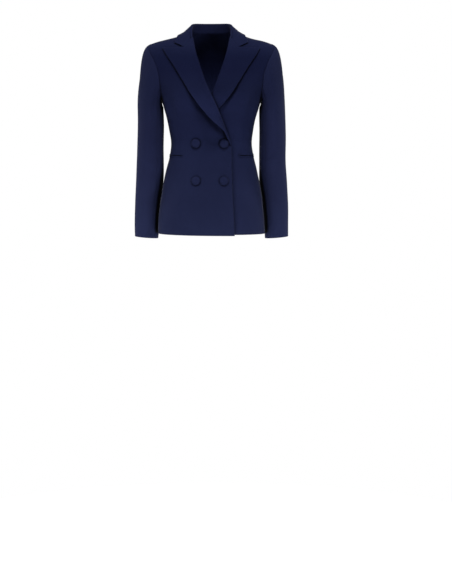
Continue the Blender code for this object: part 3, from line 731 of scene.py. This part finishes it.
def add_seam_rows(net, normals, sides):
    """Add a row close to each sewn edge, and sink the edge itself into its seam."""
    for side in sides:
        axis, edge, step = EDGES[side]
        lines, leans = np.moveaxis(net, axis, 0), np.moveaxis(normals, axis, 0)
        inward = lines[edge + step] - lines[edge]
        distance = np.linalg.norm(inward, axis=-1, keepdims=True)
        share = np.clip(SEAM_REACH / distance, 0, SEAM_REACH_LIMIT)
        extra, lean = lines[edge] + inward * share, unit(leans[edge] + leans[edge + step])
        lowered = lines.copy()
        lowered[edge] = lines[edge] - unit(leans[edge]) * SEAM_DIP
        place_at = 1 if edge == 0 else len(lines) - 1
        net = np.moveaxis(np.insert(lowered, place_at, extra, axis=0), 0, axis)
        normals = np.moveaxis(np.insert(leans, place_at, lean, axis=0), 0, axis)
    return net, normals


def arm_seam():
    """Give the armhole's points, the sleeve's starting directions and the shared normals."""
    angles = arm_angles()
    points, normals = skin(arm_line(angles))
    ahead = skin(arm_line((angles + PROBE) % 360))[0]
    behind = skin(arm_line((angles - PROBE) % 360))[0]
    across = unit(np.cross(ahead - behind, normals))
    centre = points.mean(axis=0) + np.array([CAP_CENTRE_OUT, 0, 0])
    across *= np.sign(((centre - points) * across).sum(-1))[:, None]
    share = (1 - np.cos(np.radians(angles))) / 2
    turn = np.radians(TURN_TOP + TURN_RANGE * share ** TURN_GROWTH)[:, None]
    leaving = np.cos(turn) * across + np.sin(turn) * normals
    sleeve_normals = np.cos(turn) * normals - np.sin(turn) * across
    shared = unit(normals + sleeve_normals) / np.cos(turn / 2)
    return angles, points, leaving, shared


def front_net(under):
    """Give a front's net on the wearer's left, with its normals."""
    arm = arm_line(arm_angles()[ARM_FRONT_STEPS::-1])
    roll = roll_line(under)[0]
    hem_edge = HEM_EDGE_UNDER if under else HEM_EDGE_OVER
    z = np.linspace(hem_edge, BREAK, EDGE_STEPS + 1)
    edge = in_front(column(FRONT_EDGE, 0, 1)(z), z)
    edge[-1] = roll[0]
    neck = front_neck_line()
    neck[0] = roll[-1]
    left = np.vstack([edge, roll[1:], neck[1:]])
    right = np.vstack([seam_line(FRONT_SEAM, arm[0]), arm[1:]])
    start = math.degrees(math.asin((abs(edge[0][0]) / HALF_WIDTH(hem_edge)) ** (ROUNDNESS / 2)))
    hem = body_line((-start, FRONT_SEAM[1]), (hem_edge, HEM_SIDE), SHOULDER_STEPS)
    return skin(patch(left, right, hem, shoulder_line()), under)


def side_net():
    """Give the net of the panel under the arm."""
    arm = arm_line(arm_angles()[ARM_FRONT_STEPS:ARM_CORNER_STEP + 1])
    left, right = seam_line(FRONT_SEAM, arm[0]), seam_line(BACK_SEAM, arm[-1])
    hem = body_line((FRONT_SEAM[1], BACK_SEAM[1]), (HEM_SIDE, HEM_SIDE), ARM_SIDE_STEPS)
    return skin(patch(left, right, hem, arm))


def back_net():
    """Give the net of a back, from the centre seam to the side seam and armhole."""
    arm = arm_line(arm_angles()[ARM_CORNER_STEP:])
    z = np.linspace(HEM_BACK, NECK_BACK, SEAM_STEPS + ARM_FRONT_STEPS + 1)
    left = np.stack([0 * z, DEPTH_BACK(z), z], -1)
    right = np.vstack([seam_line(BACK_SEAM, arm[0]), arm[1:]])
    hem = body_line((180, BACK_SEAM[1]), (HEM_BACK, HEM_SIDE), NECK_STEPS + SHOULDER_STEPS)
    high = np.vstack([back_neck_line(), shoulder_line()[1:]])
    return skin(patch(left, right, hem, high))


def fold_path(base, along, outward, stand, radius):
    """Run from a base along a stand and round a half circle; give points and wall normals."""
    split = STAND_SHARE * min(1.0, stand / STAND_FULL)
    share = shares(FOLD_STEPS)[:, None]
    rise = stand * np.minimum(1, share / split) if stand else 0
    turn = math.pi * np.maximum(0, share - split) / (1 - split)
    spoke = along * np.sin(turn) - outward * np.cos(turn)
    return base + along * rise + (outward + spoke) * radius, -spoke


def lapel_net(under):
    """Give a lapel's net from the roll line, round the fold and out to its edge."""
    line, radius = roll_line(under)
    base, normals = skin(line, under)
    inward = unit(np.cross(normals, np.gradient(base, axis=0)))
    inward *= np.where(inward[:, :1] > 0, -1.0, 1.0)
    folds = [fold_path(*row) for row in zip(base, inward, normals, 0 * radius, radius)]
    outline = spread(LAPEL_OUTLINE, ROLL_STEPS)
    roll = line[:, [0, 2]]
    gorge = np.linspace(roll[-1], NOTCH, GORGE_STEPS + 1)
    peak = np.linspace(NOTCH, outline[-1, :2], PEAK_STEPS + 1)
    top = np.vstack([gorge, peak[1:]])
    low = np.linspace(roll[0], outline[0, :2], GORGE_STEPS + PEAK_STEPS + 1)
    flat = patch(roll, outline[:, :2], low, top)
    share = np.linspace(0, 1, flat.shape[1])[None, :]
    edge_lift = outline[:, 3 if under else 2][:, None]
    spring = SPRING_SHARE * np.maximum(0, edge_lift - LEAF_LIFT)
    middle_lift = np.minimum(LEAF_LIFT + spring, (2 * radius + FOLD_CLEARANCE)[:, None])
    settle = np.exp(-(share / SETTLE_SHARE) ** 2)
    lift = 2 * radius[:, None] * settle + (1 - settle) * (
        middle_lift + (edge_lift - middle_lift) * share ** LIFT_CURVE)
    leaf, leaf_normals = skin(in_front(flat[..., 0], flat[..., 1]), under, lift)
    fold_points, fold_normals = (np.array(part) for part in zip(*folds))
    net = np.hstack([fold_points, leaf[:, 1:]])
    wall_normals = net_normals(net)
    wall_normals *= np.sign((wall_normals[:, :1] * normals[:, None]).sum(-1, keepdims=True))
    wall_normals[:, :FOLD_STEPS + 1] = fold_normals
    wall_normals[-1, FOLD_STEPS + 1:] = -leaf_normals[-1, 1:]
    return net, wall_normals


def collar_half(lapel, lapel_normals):
    """Give the left half of the collar's net, from the gorge to the centre back."""
    neck = np.vstack([front_neck_line(), back_neck_line()[::-1][1:]])
    base, base_normals = skin(neck)
    base[0] = lapel[-1, 0]
    gorge = FOLD_STEPS + GORGE_STEPS + 1
    stations = len(COLLAR) - 1
    table = reread(range(stations + 1), COLLAR, shares(2 * NECK_STEPS) * stations)
    edge = skin(table[:, 3:], lift=LEAF_LIFT)[0]
    folds = [(lapel[-1, :FOLD_STEPS + 1], lapel_normals[-1, :FOLD_STEPS + 1])]
    for i in range(1, len(table)):
        rise = table[i, :3] - base[i]
        along = rise / np.linalg.norm(rise)
        outward = edge[i] - base[i]
        outward = unit(outward - along * outward.dot(along))
        stand = np.linalg.norm(rise) - COLLAR_RADIUS
        folds.append(fold_path(base[i], along, outward, stand, COLLAR_RADIUS))
    fold_points, fold_normals = (np.array(part) for part in zip(*folds))
    ends = fold_points[:, -1]
    corner = np.linspace(lapel[-1, gorge - 1], edge[0], COLLAR_END_STEPS + 1)[1:]
    end_edge = np.vstack([lapel[-1, FOLD_STEPS:gorge], skin(corner, lift=LEAF_LIFT)[0]])
    across = shares(GORGE_STEPS + COLLAR_END_STEPS)[:, None]
    leaf = ends[:, None] * (1 - across) + edge[:, None] * across
    fade = np.linspace(1, 0, len(table)) ** END_FADE
    leaf += fade[:, None, None] * (end_edge - leaf[0])
    ground, ground_normals = skin(leaf)
    height = ((leaf - ground) * ground_normals).sum(-1)
    short = np.maximum(0, LEAF_LIFT - height) * ease(0, COLLAR_REST_SHARE, across.T)
    short[0, :GORGE_STEPS + 1] = 0
    leaf = leaf + ground_normals * short[..., None]
    net = np.hstack([fold_points, leaf[:, 1:]])
    bend = unit(base_normals + fold_normals[:, 0])
    bend /= (bend * base_normals).sum(-1, keepdims=True)
    fold_normals[:, 0] = bend
    return net, fold_normals, bend


def collar_net(lapel, lapel_normals):
    """Give the whole collar's net, from the right gorge to the left, with its normals."""
    half, fold_normals = collar_half(lapel, lapel_normals)[:2]
    flip = np.array([-1.0, 1, 1])
    net = np.vstack([half * flip, half[-2::-1]])
    normals = net_normals(net)
    towards = np.vstack([fold_normals * flip, fold_normals[-2::-1]])
    normals *= np.sign((normals[:, 2:3] * towards[:, 2:3]).sum(-1, keepdims=True))
    normals[:, :FOLD_STEPS + 1] = towards
    gorge = FOLD_STEPS + GORGE_STEPS + 1
    ends = lapel_normals[-1, FOLD_STEPS + 1:gorge]
    normals[0, FOLD_STEPS + 1:gorge] = ends * flip
    normals[-1, FOLD_STEPS + 1:gorge] = ends
    return net, normals


SLEEVE_CURVES = [column(SLEEVE, 0, i) for i in range(1, 5)]


def sleeve_ring(angles, height):
    """Give the points of a sleeve's section; the angle is 0 outside and 90 in front."""
    y, inner, outer, half_depth = [curve(height) for curve in SLEEVE_CURVES]
    x, half_width = (inner + outer) / 2, (outer - inner) / 2
    turn = np.radians(angles)
    return np.stack(
        [x + half_width * np.cos(turn), y - half_depth * np.sin(turn), height + 0 * turn], -1)


def sleeve_net():
    """Give a whole sleeve's net from the armhole to the cuff, with its normals."""
    angles, start, leaving, shared = arm_seam()
    end = sleeve_ring(angles, BICEP + 0 * angles)
    falling = unit(sleeve_ring(angles, BICEP - PROBE + 0 * angles) - end)
    reach = np.linalg.norm(end - start, axis=-1, keepdims=True)
    leaving = leaving * np.maximum(CAP_LEAVING_SHARE * reach, CAP_LEAVING_LEAST)
    cap = [cubic(t, start, end, leaving, falling * reach) for t in shares(CAP_STEPS)[:-1]]
    cuff = CUFF + CUFF_TILT * np.cos(np.radians(angles))
    arm = [sleeve_ring(angles, BICEP + (cuff - BICEP) * t) for t in shares(ARM_STEPS)]
    net = np.array(cap + arm)
    normals = ring_normals(net)
    middle = net.mean(axis=1, keepdims=True)
    normals *= np.sign(((net - middle) * normals).sum(-1).mean())
    normals[0] = shared
    return net, normals


# --- folds

def ripple(points):
    """Give the slight unevenness of hanging cloth."""
    total = 0
    for along_x, along_y, along_z, phase, size in RIPPLES:
        turns = points[..., 0] / along_x + points[..., 1] / along_y + points[..., 2] / along_z
        total = total + size * np.sin(2 * math.pi * turns + phase)
    return total


def fold(u, v, u1, v1, u2, v2, bow, reach, rise):
    """Give the rise of one soft fold that runs between two places, a little bowed."""
    length = math.hypot(u2 - u1, v2 - v1)
    along_u, along_v = (u2 - u1) / length, (v2 - v1) / length
    share = ((u - u1) * along_u + (v - v1) * along_v) / length
    inside = np.clip(share, 0, 1)
    across = (u - u1) * along_v - (v - v1) * along_u + 4 * bow * inside * (1 - inside)
    beyond = (share - inside) * length
    fade = ease(*FOLD_RISE, inside) * (1 - ease(*FOLD_SINK, inside))
    width = reach * (FOLD_WIDTH + FOLD_WIDENING * inside)
    return rise * fade * np.exp(-(across ** 2 + beyond ** 2) / width ** 2)


def body_rise(points):
    """Give how far the folds lift each point of the body's cloth."""
    x, z = points[..., 0], points[..., 2]
    facing = {side: ease(0, FOLD_BLEND, side * points[..., 1]) for side in (-1, 1)}
    total = ripple(points)
    for side, *shape in BODY_FOLDS:
        total = total + facing[side] * fold(x, z, *shape)
    for _, button_x, button_z in BUTTONS:
        from_rim = np.maximum(np.hypot(x - button_x, z - button_z) - BUTTON_RADIUS, 0)
        total = total - PUCKER * facing[-1] * np.exp(-(from_rim / PUCKER_REACH) ** 2)
    return total


def sleeve_rise(net, angles, side):
    """Give how far the folds lift each point of a sleeve's net."""
    total = ripple(net * (side, 1, 1))
    z = net[..., 2]
    turned = angles[None, :] * DEGREE + 0 * z
    for fold_side, a1, z1, a2, z2, *shape in SLEEVE_FOLDS:
        if fold_side == side:
            total = total + fold(turned, z, a1 * DEGREE, z1, a2 * DEGREE, z2, *shape)
    from_seam = np.linalg.norm(net - net[:1], axis=-1)
    on_top = np.clip(np.cos(np.radians(angles)), 0, 1)[None, :]
    roll = CAP_ROLL * on_top * (from_seam / CAP_ROLL_REACH) * np.exp(1 - from_seam / CAP_ROLL_REACH)
    return total * ease(0, ARM_HOLD, from_seam) + roll


ARM_POINTS = skin(arm_line(arm_angles()))[0]


def drape(points, side):
    """Give the points of the body's cloth with its folds; the armhole seam keeps its place."""
    flat = points.reshape(-1, 3)
    gap = np.full(len(flat), np.inf)
    for arm_point in ARM_POINTS[::ARM_SAMPLE]:
        gap = np.minimum(gap, ((flat - arm_point) ** 2).sum(-1))
    hold = ease(0, ARM_HOLD, np.sqrt(gap)).reshape(points.shape[:-1])
    return lifted(points, body_rise(points * (side, 1, 1)) * hold)


# --- shells

def numbered(net, first=0):
    """Number the points of a net row by row."""
    rows, columns = net.shape[:2]
    return first + np.arange(rows * columns).reshape(rows, columns)


def net_faces(index, points, normals):
    """Give the faces of a net of vertex numbers, turned the way its normals point."""
    ring = [index[:-1, :-1], index[:-1, 1:], index[1:, 1:], index[1:, :-1]]
    faces = np.stack(ring, -1).reshape(-1, 4)
    corners = points[faces]
    turned = np.cross(corners[:, 2] - corners[:, 0], corners[:, 3] - corners[:, 1])
    agree = (turned * normals[faces[:, 0]]).sum()
    return faces if agree > 0 else faces[:, ::-1]


def placed(name, data):
    """Add an object to the scene."""
    thing = bpy.data.objects.new(name, data)
    bpy.context.scene.collection.objects.link(thing)
    return thing


def piece(name, points, faces, material_and_slot):
    """Make a smooth mesh a piece of the blazer, with its material."""
    material, slot = material_and_slot
    mesh = bpy.data.meshes.new(name)
    mesh.from_pydata((points * MM).tolist(), [], faces)
    mesh.shade_smooth()
    mesh.materials.append(material)
    result = placed(name, mesh)
    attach(result, "root")
    return result


def shell(name, points, normals, half, faces, material_and_slot, sign):
    """Make a closed shell with rounded edges round the faces of its middle surface."""
    count = len(points)
    half = (np.zeros(count) + half)[:, None]
    edges = np.vstack([faces[:, [i, (i + 1) % 4]] for i in range(4)])
    forward = edges[:, 0] * count + edges[:, 1]
    back = edges[:, 1] * count + edges[:, 0]
    border = edges[~np.isin(forward, back)]
    start, end = border[:, 0], border[:, 1]
    away = np.cross(points[end] - points[start], normals[start] + normals[end])
    lean = np.zeros((count, 3))
    np.add.at(lean, start, unit(away))
    np.add.at(lean, end, unit(away))
    rim = np.unique(border)
    rim_at = np.full(count, -1)
    rim_at[rim] = 2 * count + np.arange(len(rim))
    middle = points[rim] + unit(lean[rim]) * half[rim] * RIM_SHARE
    verts = np.vstack([points + normals * half, points - normals * half, middle])
    skirts = [
        np.stack([end, start, rim_at[start], rim_at[end]], -1),
        np.stack([rim_at[end], rim_at[start], start + count, end + count], -1)]
    everything = np.vstack([faces, faces[:, ::-1] + count] + skirts)
    if sign < 0:
        everything = everything[:, ::-1]
    return piece(name, verts * (sign, 1, 1), everything.tolist(), material_and_slot)


def cloth(name, net, normals, half, material_and_slot, sign=1):
    """Make a shell from one net."""
    points, leans = net.reshape(-1, 3), normals.reshape(-1, 3)
    faces = net_faces(numbered(net), points, leans)
    return shell(name, points, leans, half, faces, material_and_slot, sign)


def sew(name, net, normals, seams, material_and_slot, sign):
    """Make a shell from one net that is drawn in and sunk along its seams."""
    net, normals = add_seam_rows(open_seams(net, seams), normals, seams)
    return cloth(name, net, normals, CLOTH / 2, material_and_slot, sign)


# --- materials, with painted light and shade

def node_makers(tree):
    """Give helpers that add a linked node to a tree and mix two values in it."""
    def add(kind, sources=None, **settings):
        node = tree.nodes.new("ShaderNode" + kind)
        for key, value in settings.items():
            if hasattr(node, key):
                setattr(node, key, value)
            else:
                node.inputs[key.replace("_", " ")].default_value = value
        for socket, source in (sources or {}).items():
            tree.links.new(source, node.inputs[socket])
        return node

    def blend(first, second, share):
        rest = add("Math", {0: second}, operation="MULTIPLY")
        rest.inputs[1].default_value = 1 - share
        mixed = add("Math", {0: first, 2: rest.outputs[0]}, operation="MULTIPLY_ADD")
        mixed.inputs[1].default_value = share
        return mixed.outputs[0]

    return add, blend


def shaded(name, values):
    """Make a material and set values of its shader's sockets."""
    material = bpy.data.materials.new(name)
    material.use_nodes = True
    shader = material.node_tree.nodes["Principled BSDF"]
    for socket, value in values:
        shader.inputs[socket].default_value = value
    return material, shader


def suiting(name, painted_light_table):
    """Make matt navy suiting with a slight sheen: a fine uneven weave, painted light and shade by
    height and in crevices.
    """
    material, shader = shaded(name, SUITING_SHADER)
    tree = material.node_tree
    add, blend = node_makers(tree)
    place = add("TexCoord").outputs["Object"]
    weave = add("TexNoise", {"Vector": place}, Scale=GRAIN, Detail=3.0, Roughness=0.6)
    twill = add("TexWave", {"Vector": place}, wave_type="BANDS", bands_direction="DIAGONAL",
                Scale=GRAIN * TWILL_SHARE, Distortion=2.5, Detail=1.0)
    cloudy = add("TexNoise", {"Vector": place}, Scale=7.0, Detail=2.0, Roughness=0.5)
    yarn = blend(weave.outputs["Fac"], twill.outputs["Fac"], WEAVE_IN_YARN)
    tone = blend(yarn, cloudy.outputs["Fac"], YARN_IN_TONE)
    ramp = add("ValToRGB", {"Fac": tone})
    for stop, (position, colour) in zip(ramp.color_ramp.elements, DYE):
        stop.position = position
        stop.color = colour
    # Painted light and shade: the colour is scaled by height from the given table
    parts = add("SeparateXYZ", {"Vector": place})
    level = add("MapRange", {"Value": parts.outputs["Z"]}, From_Min=LOWEST, From_Max=HIGHEST)
    painted_light_ramp = add("ValToRGB", {"Fac": level.outputs["Result"]})
    stops = painted_light_ramp.color_ramp.elements
    for row in painted_light_table[1:-1]:
        stops.new((row[0] - LOWEST) / (HIGHEST - LOWEST))
    for stop, (height, red, green, blue) in zip(stops, painted_light_table):
        stop.position = (height - LOWEST) / (HIGHEST - LOWEST)
        stop.color = (red / PAINTED_LIGHT_RANGE, green / PAINTED_LIGHT_RANGE, blue / PAINTED_LIGHT_RANGE, 1.0)
    dye_and_painted_light = add("VectorMath", {0: ramp.outputs["Color"], 1: painted_light_ramp.outputs["Color"]},
               operation="MULTIPLY")
    full_range = add("Value")
    full_range.outputs[0].default_value = PAINTED_LIGHT_RANGE
    bright = full_range.outputs[0]
    # Painted shade: occlusion darkens the colour in crevices and under folds
    for reach, own, least in SHADES:
        crevice = add("AmbientOcclusion", Distance=reach, samples=SHADE_SAMPLES, only_local=own)
        depth = add("MapRange", {"Value": crevice.outputs["AO"]}, From_Min=SHADE_FROM,
                    From_Max=SHADE_TO, To_Min=least, To_Max=1.0)
        product = add("Math", {0: depth.outputs["Result"], 1: bright}, operation="MULTIPLY")
        bright = product.outputs[0]
    colour = add("VectorMath", {0: dye_and_painted_light.outputs["Vector"], "Scale": bright}, operation="SCALE")
    rough = add("MapRange", {"Value": yarn}, To_Min=0.80, To_Max=0.95)
    bump = add("Bump", {"Height": yarn}, Strength=0.35, Distance=0.00025)
    tree.links.new(colour.outputs["Vector"], shader.inputs["Base Color"])
    tree.links.new(rough.outputs["Result"], shader.inputs["Roughness"])
    tree.links.new(bump.outputs["Normal"], shader.inputs["Normal"])
    return material


# --- pieces


def sew_front(side, under, shared, bend, material_and_slot):
    """Make a front and its lapel in one cloth, turned over along the roll line."""
    sign = SIGN[side]
    net, normals = front_net(under)
    normals[SEAM_STEPS:, -1] = shared[ARM_FRONT_STEPS::-1]
    normals[-1 - NECK_STEPS:, 0] = bend[:NECK_STEPS + 1]
    lapel, lapel_normals = lapel_net(under)
    x, z = sign * net[..., 0], net[..., 2]
    for crease in (LAPEL_HOLLOW,) + (LEFT_CREASES if under else RIGHT_CREASES):
        net = net + unit(normals) * fold(x, z, *crease)[..., None]
    if under:
        lapel = lifted(lapel, fold(sign * lapel[..., 0], lapel[..., 2], *LAPEL_HOLLOW))
    outer = ease(SPRING_FROM, 1.0, np.linspace(0, 1, lapel.shape[1]))[None, :]
    for spring_side, height, reach, rise in LAPEL_SPRINGS:
        if spring_side == sign:
            near = np.exp(-((lapel[:, -1:, 2] - height) / reach) ** 2)
            lapel = lifted(lapel, rise * outer * near)
    net, lapel = drape(net, sign), drape(lapel, sign)
    seams = ("right", "high")
    net, normals = add_seam_rows(open_seams(net, seams), normals, seams)
    leaf = open_seams(lapel, ("high",))[:, 1:]
    front_at = numbered(net)
    roll_at = front_at[EDGE_STEPS:EDGE_STEPS + ROLL_STEPS + 1, :1]
    leaf_at = np.hstack([roll_at, numbered(leaf, front_at.size)])
    points = np.vstack([net.reshape(-1, 3), leaf.reshape(-1, 3)])
    leans = np.vstack([normals.reshape(-1, 3), lapel_normals[:, 1:].reshape(-1, 3)])
    faces = np.vstack([net_faces(at, points, leans) for at in (front_at, leaf_at)])
    across = np.linspace(0, 1, lapel.shape[1])[None, 1:]
    upwards = np.linspace(0, 1, len(lapel))[:, None]
    grow = ease(*EDGE_GROWTH, across) * ease(*EDGE_GROWTH_LOW, upwards)
    half = CLOTH / 2 + (LAPEL_EDGE_CLOTH - CLOTH) / 2 * grow
    half = np.hstack([np.full(front_at.size, CLOTH / 2), half.reshape(-1)])
    result = shell("front_and_lapel_" + side, points, leans, half, faces, material_and_slot, sign)
    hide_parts("front_" + side, "lapel_" + side)


def sew_side(side, shared, material_and_slot):
    """Make the panel under an arm."""
    net, normals = side_net()
    normals[-1] = shared[ARM_FRONT_STEPS:ARM_CORNER_STEP + 1]
    net = drape(net, SIGN[side])
    result = sew("side_panel_" + side, net, normals, PANEL_SEAMS, material_and_slot, SIGN[side])
    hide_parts("side_" + side)


def sew_back(side, shared, bend, material_and_slot):
    """Make one half of the back."""
    net, normals = back_net()
    normals[SEAM_STEPS:, -1] = shared[ARM_CORNER_STEP:]
    normals[-1, :NECK_STEPS + 1] = bend[:NECK_STEPS - 1:-1]
    net = drape(net, SIGN[side])
    result = sew("back_panel_" + side, net, normals, PANEL_SEAMS, material_and_slot, SIGN[side])
    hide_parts("back_" + side)


def sew_sleeve(side, material_and_slot):
    """Make the top and under pieces of one sleeve."""
    net, normals = sleeve_net()
    first = normals[0].copy()
    net = net + unit(normals) * sleeve_rise(net, arm_angles(), SIGN[side])[..., None]
    bent = ring_normals(net)
    normals = bent * np.sign((bent * normals).sum(-1, keepdims=True))
    normals[0] = first
    around = net.shape[1] - 1
    for part, columns in (
            ("top", [*range(UNDER_TO, around), *range(UNDER_FROM + 1)]),
            ("under", [*range(UNDER_FROM, UNDER_TO + 1)])):
        result = sew("sleeve_%s_cloth_%s" % (part, side), net[:, columns], normals[:, columns],
                     SLEEVE_SEAMS, material_and_slot, SIGN[side])
        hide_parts("sleeve_%s_%s" % (part, side))


def sew_collar(material_and_slot):
    """Make the collar, which joins the two lapels round the back of the neck."""
    net, normals = collar_net(*lapel_net(False))
    net = lifted(net, ripple(net) * COLLAR_RIPPLE)
    net = open_seams(net, ("left", "low", "high"))
    result = cloth("collar_cloth", net, normals, COLLAR_CLOTH / 2, material_and_slot)
    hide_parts("collar")


def sew_pockets(material_and_slot):
    """Make the jetted pockets: two padded welts that meet at their ends round a slit."""
    angles = np.linspace(POCKET_FROM, POCKET_TO, WELT_COLUMNS + 1)
    share = shares(WELT_ROWS)
    upper = POCKET_SLIT / 2 + (POCKET_DEPTH / 2 - POCKET_SLIT / 2) * share
    heights = np.hstack([-upper[::-1], upper])
    from_slit = np.hstack([share[::-1], share])[:, None]
    column_at = np.arange(WELT_COLUMNS + 1)
    from_end = np.minimum(column_at, column_at[::-1])[None, :]
    padding = (1 - from_slit) ** WELT_CURVE * ease(0, WELT_TAPER, from_end)
    half = WELT_RIM + (WELT_LIP - WELT_RIM) * padding
    flat = np.array([round_body(angles, POCKET_HEIGHT + h + 0 * angles) for h in heights])
    middle, normals = skin(flat, lift=CLOTH / 2 + half + WELT_REST)
    index = numbered(middle)
    bridge = index[WELT_ROWS:WELT_ROWS + 2]
    parts = (index[:WELT_ROWS + 1], index[WELT_ROWS + 1:],
             bridge[:, :WELT_BRIDGE], bridge[:, -WELT_BRIDGE:])
    for side in ("right", "left"):
        points, leans = drape(middle, SIGN[side]).reshape(-1, 3), normals.reshape(-1, 3)
        faces = np.vstack([net_faces(at, points, leans) for at in parts])
        result = shell("pocket_welts_" + side, points, leans, half.reshape(-1), faces, material_and_slot,
                       SIGN[side])
        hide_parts("pocket_" + side)


def sew_buttons(material_and_slot):
    """Make the four covered buttons: low domes, with the cloth drawn tight round the rim."""
    turn = 2 * math.pi * np.arange(BUTTON_STEPS) / BUTTON_STEPS
    share, rise = np.transpose(BUTTON_PROFILE)[..., None]
    depth = GATHER_DEPTH * ease(GATHER_FROM, 1.0, share) * (rise < GATHER_TOP)
    reach = share * BUTTON_RADIUS * (1 + depth * np.sin(turn * GATHERS))
    at = np.arange(reach.size).reshape(reach.shape)
    after = np.roll(at, -1, axis=1)
    faces = np.stack([at[:-1], after[:-1], after[1:], at[1:]], -1).reshape(-1, 4).tolist()
    faces += [(k, k_after, at.size) for k, k_after in zip(at[-1], after[-1])]
    faces.append(at[0, ::-1].tolist())
    for name, x, height in BUTTONS:
        flip = np.array([1 if x > 0 else -1, 1, 1])
        middle, normal = skin(in_front(np.array([float(abs(x))]), np.array([float(height)])))
        middle, normal = middle[0] * flip, normal[0] * flip
        across = unit(np.cross(normal, (0.0, 0.0, 1.0)))
        upward = np.cross(across, normal)
        spokes = np.array([across, -across, upward, -upward]) * BUTTON_RADIUS
        around = skin((middle + spokes) * flip)[0] * flip
        bulge = max(0.0, ((around - middle) @ normal).max())
        base = middle + normal * (CLOTH / 2 + BUTTON_STAND_OFF + bulge)
        spoke = across * np.cos(turn)[:, None] + upward * np.sin(turn)[:, None]
        rings = base + spoke * reach[..., None] + normal * (rise * BUTTON_DEPTH)[..., None]
        points = np.vstack([rings.reshape(-1, 3), base + normal * BUTTON_DEPTH])
        result = piece("covered_" + name, points, faces, material_and_slot)
        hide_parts(name)


# --- studio

def look_at(thing, eye, target):
    """Put a camera or light at a place, facing another."""
    thing.location = eye
    thing.rotation_euler = (Vector(eye) - Vector(target)).to_track_quat("Z", "Y").to_euler()


def add_camera():
    """Place the camera at the front, level with the chest, tipped down to the middle."""
    data = bpy.data.cameras.new("camera")
    data.sensor_fit = "VERTICAL"
    data.sensor_height = SENSOR_HEIGHT
    data.lens = LENS
    camera = placed("camera", data)
    look_at(camera, CAMERA_EYE, CAMERA_AIM)
    bpy.context.scene.camera = camera
    bpy.context.scene.view_settings.view_transform = "Standard"


def add_lamps():
    """Light the scene with large soft boxes."""
    for name, x, y, z, aim, width, height, power in LAMPS:
        data = bpy.data.lights.new(name, "AREA")
        data.shape = "RECTANGLE"
        data.size, data.size_y = width, height
        data.energy = power
        lamp = placed(name, data)
        lamp.visible_camera = False
        look_at(lamp, (x, y, z), (0.0, 0.0, aim))


def add_room():
    """Surround the scene with a dim room whose walls look white."""
    world = bpy.data.worlds.new("pale_room")
    world.use_nodes = True
    tree = world.node_tree
    ray = tree.nodes.new("ShaderNodeLightPath")
    choose = tree.nodes.new("ShaderNodeMixShader")
    tree.links.new(ray.outputs["Is Camera Ray"], choose.inputs["Fac"])
    dim, bright = tree.nodes["Background"], tree.nodes.new("ShaderNodeBackground")
    for socket, node, strength in ((1, dim, WORLD_STRENGTH), (2, bright, BACKGROUND_STRENGTH)):
        node.inputs["Color"].default_value = WHITE
        node.inputs["Strength"].default_value = strength
        tree.links.new(node.outputs["Background"], choose.inputs[socket])
    tree.links.new(choose.outputs["Shader"], tree.nodes["World Output"].inputs["Surface"])
    bpy.context.scene.world = world


def add_floor():
    """Lay the round pale floor that the blazer hangs above."""
    mesh = bpy.data.meshes.new("floor")
    turns = np.arange(FLOOR_SIDES) * 2 * math.pi / FLOOR_SIDES
    rim = [(FLOOR_RADIUS * math.cos(t), FLOOR_RADIUS * math.sin(t), FLOOR) for t in turns]
    mesh.from_pydata(rim, [], [tuple(range(FLOOR_SIDES))])
    mesh.materials.append(shaded("pale_floor", FLOOR_SHADER)[0])
    placed("floor", mesh)


def main():
    """Build the blazer and its studio."""
    add_camera()
    # One suiting three times: the copies differ only in their painted light and shade by height
    body = (suiting("navy_suiting", BODY_PAINTED_LIGHT), "body_cloth")
    sleeve = (suiting("navy_suiting_sleeve", SLEEVE_PAINTED_LIGHT), "sleeve_cloth")
    button = (suiting("navy_button_cloth", BUTTON_PAINTED_LIGHT), "button_cloth")
    shared = arm_seam()[3]
    bend = collar_half(*lapel_net(False))[2]
    for side, under in (("right", False), ("left", True)):
        sew_front(side, under, shared, bend, body)
        sew_side(side, shared, body)
        sew_back(side, shared, bend, body)
        sew_sleeve(side, sleeve)
    sew_collar(body)
    sew_pockets(body)
    sew_buttons(button)
    add_lamps()
    add_room()
    add_floor()


main()
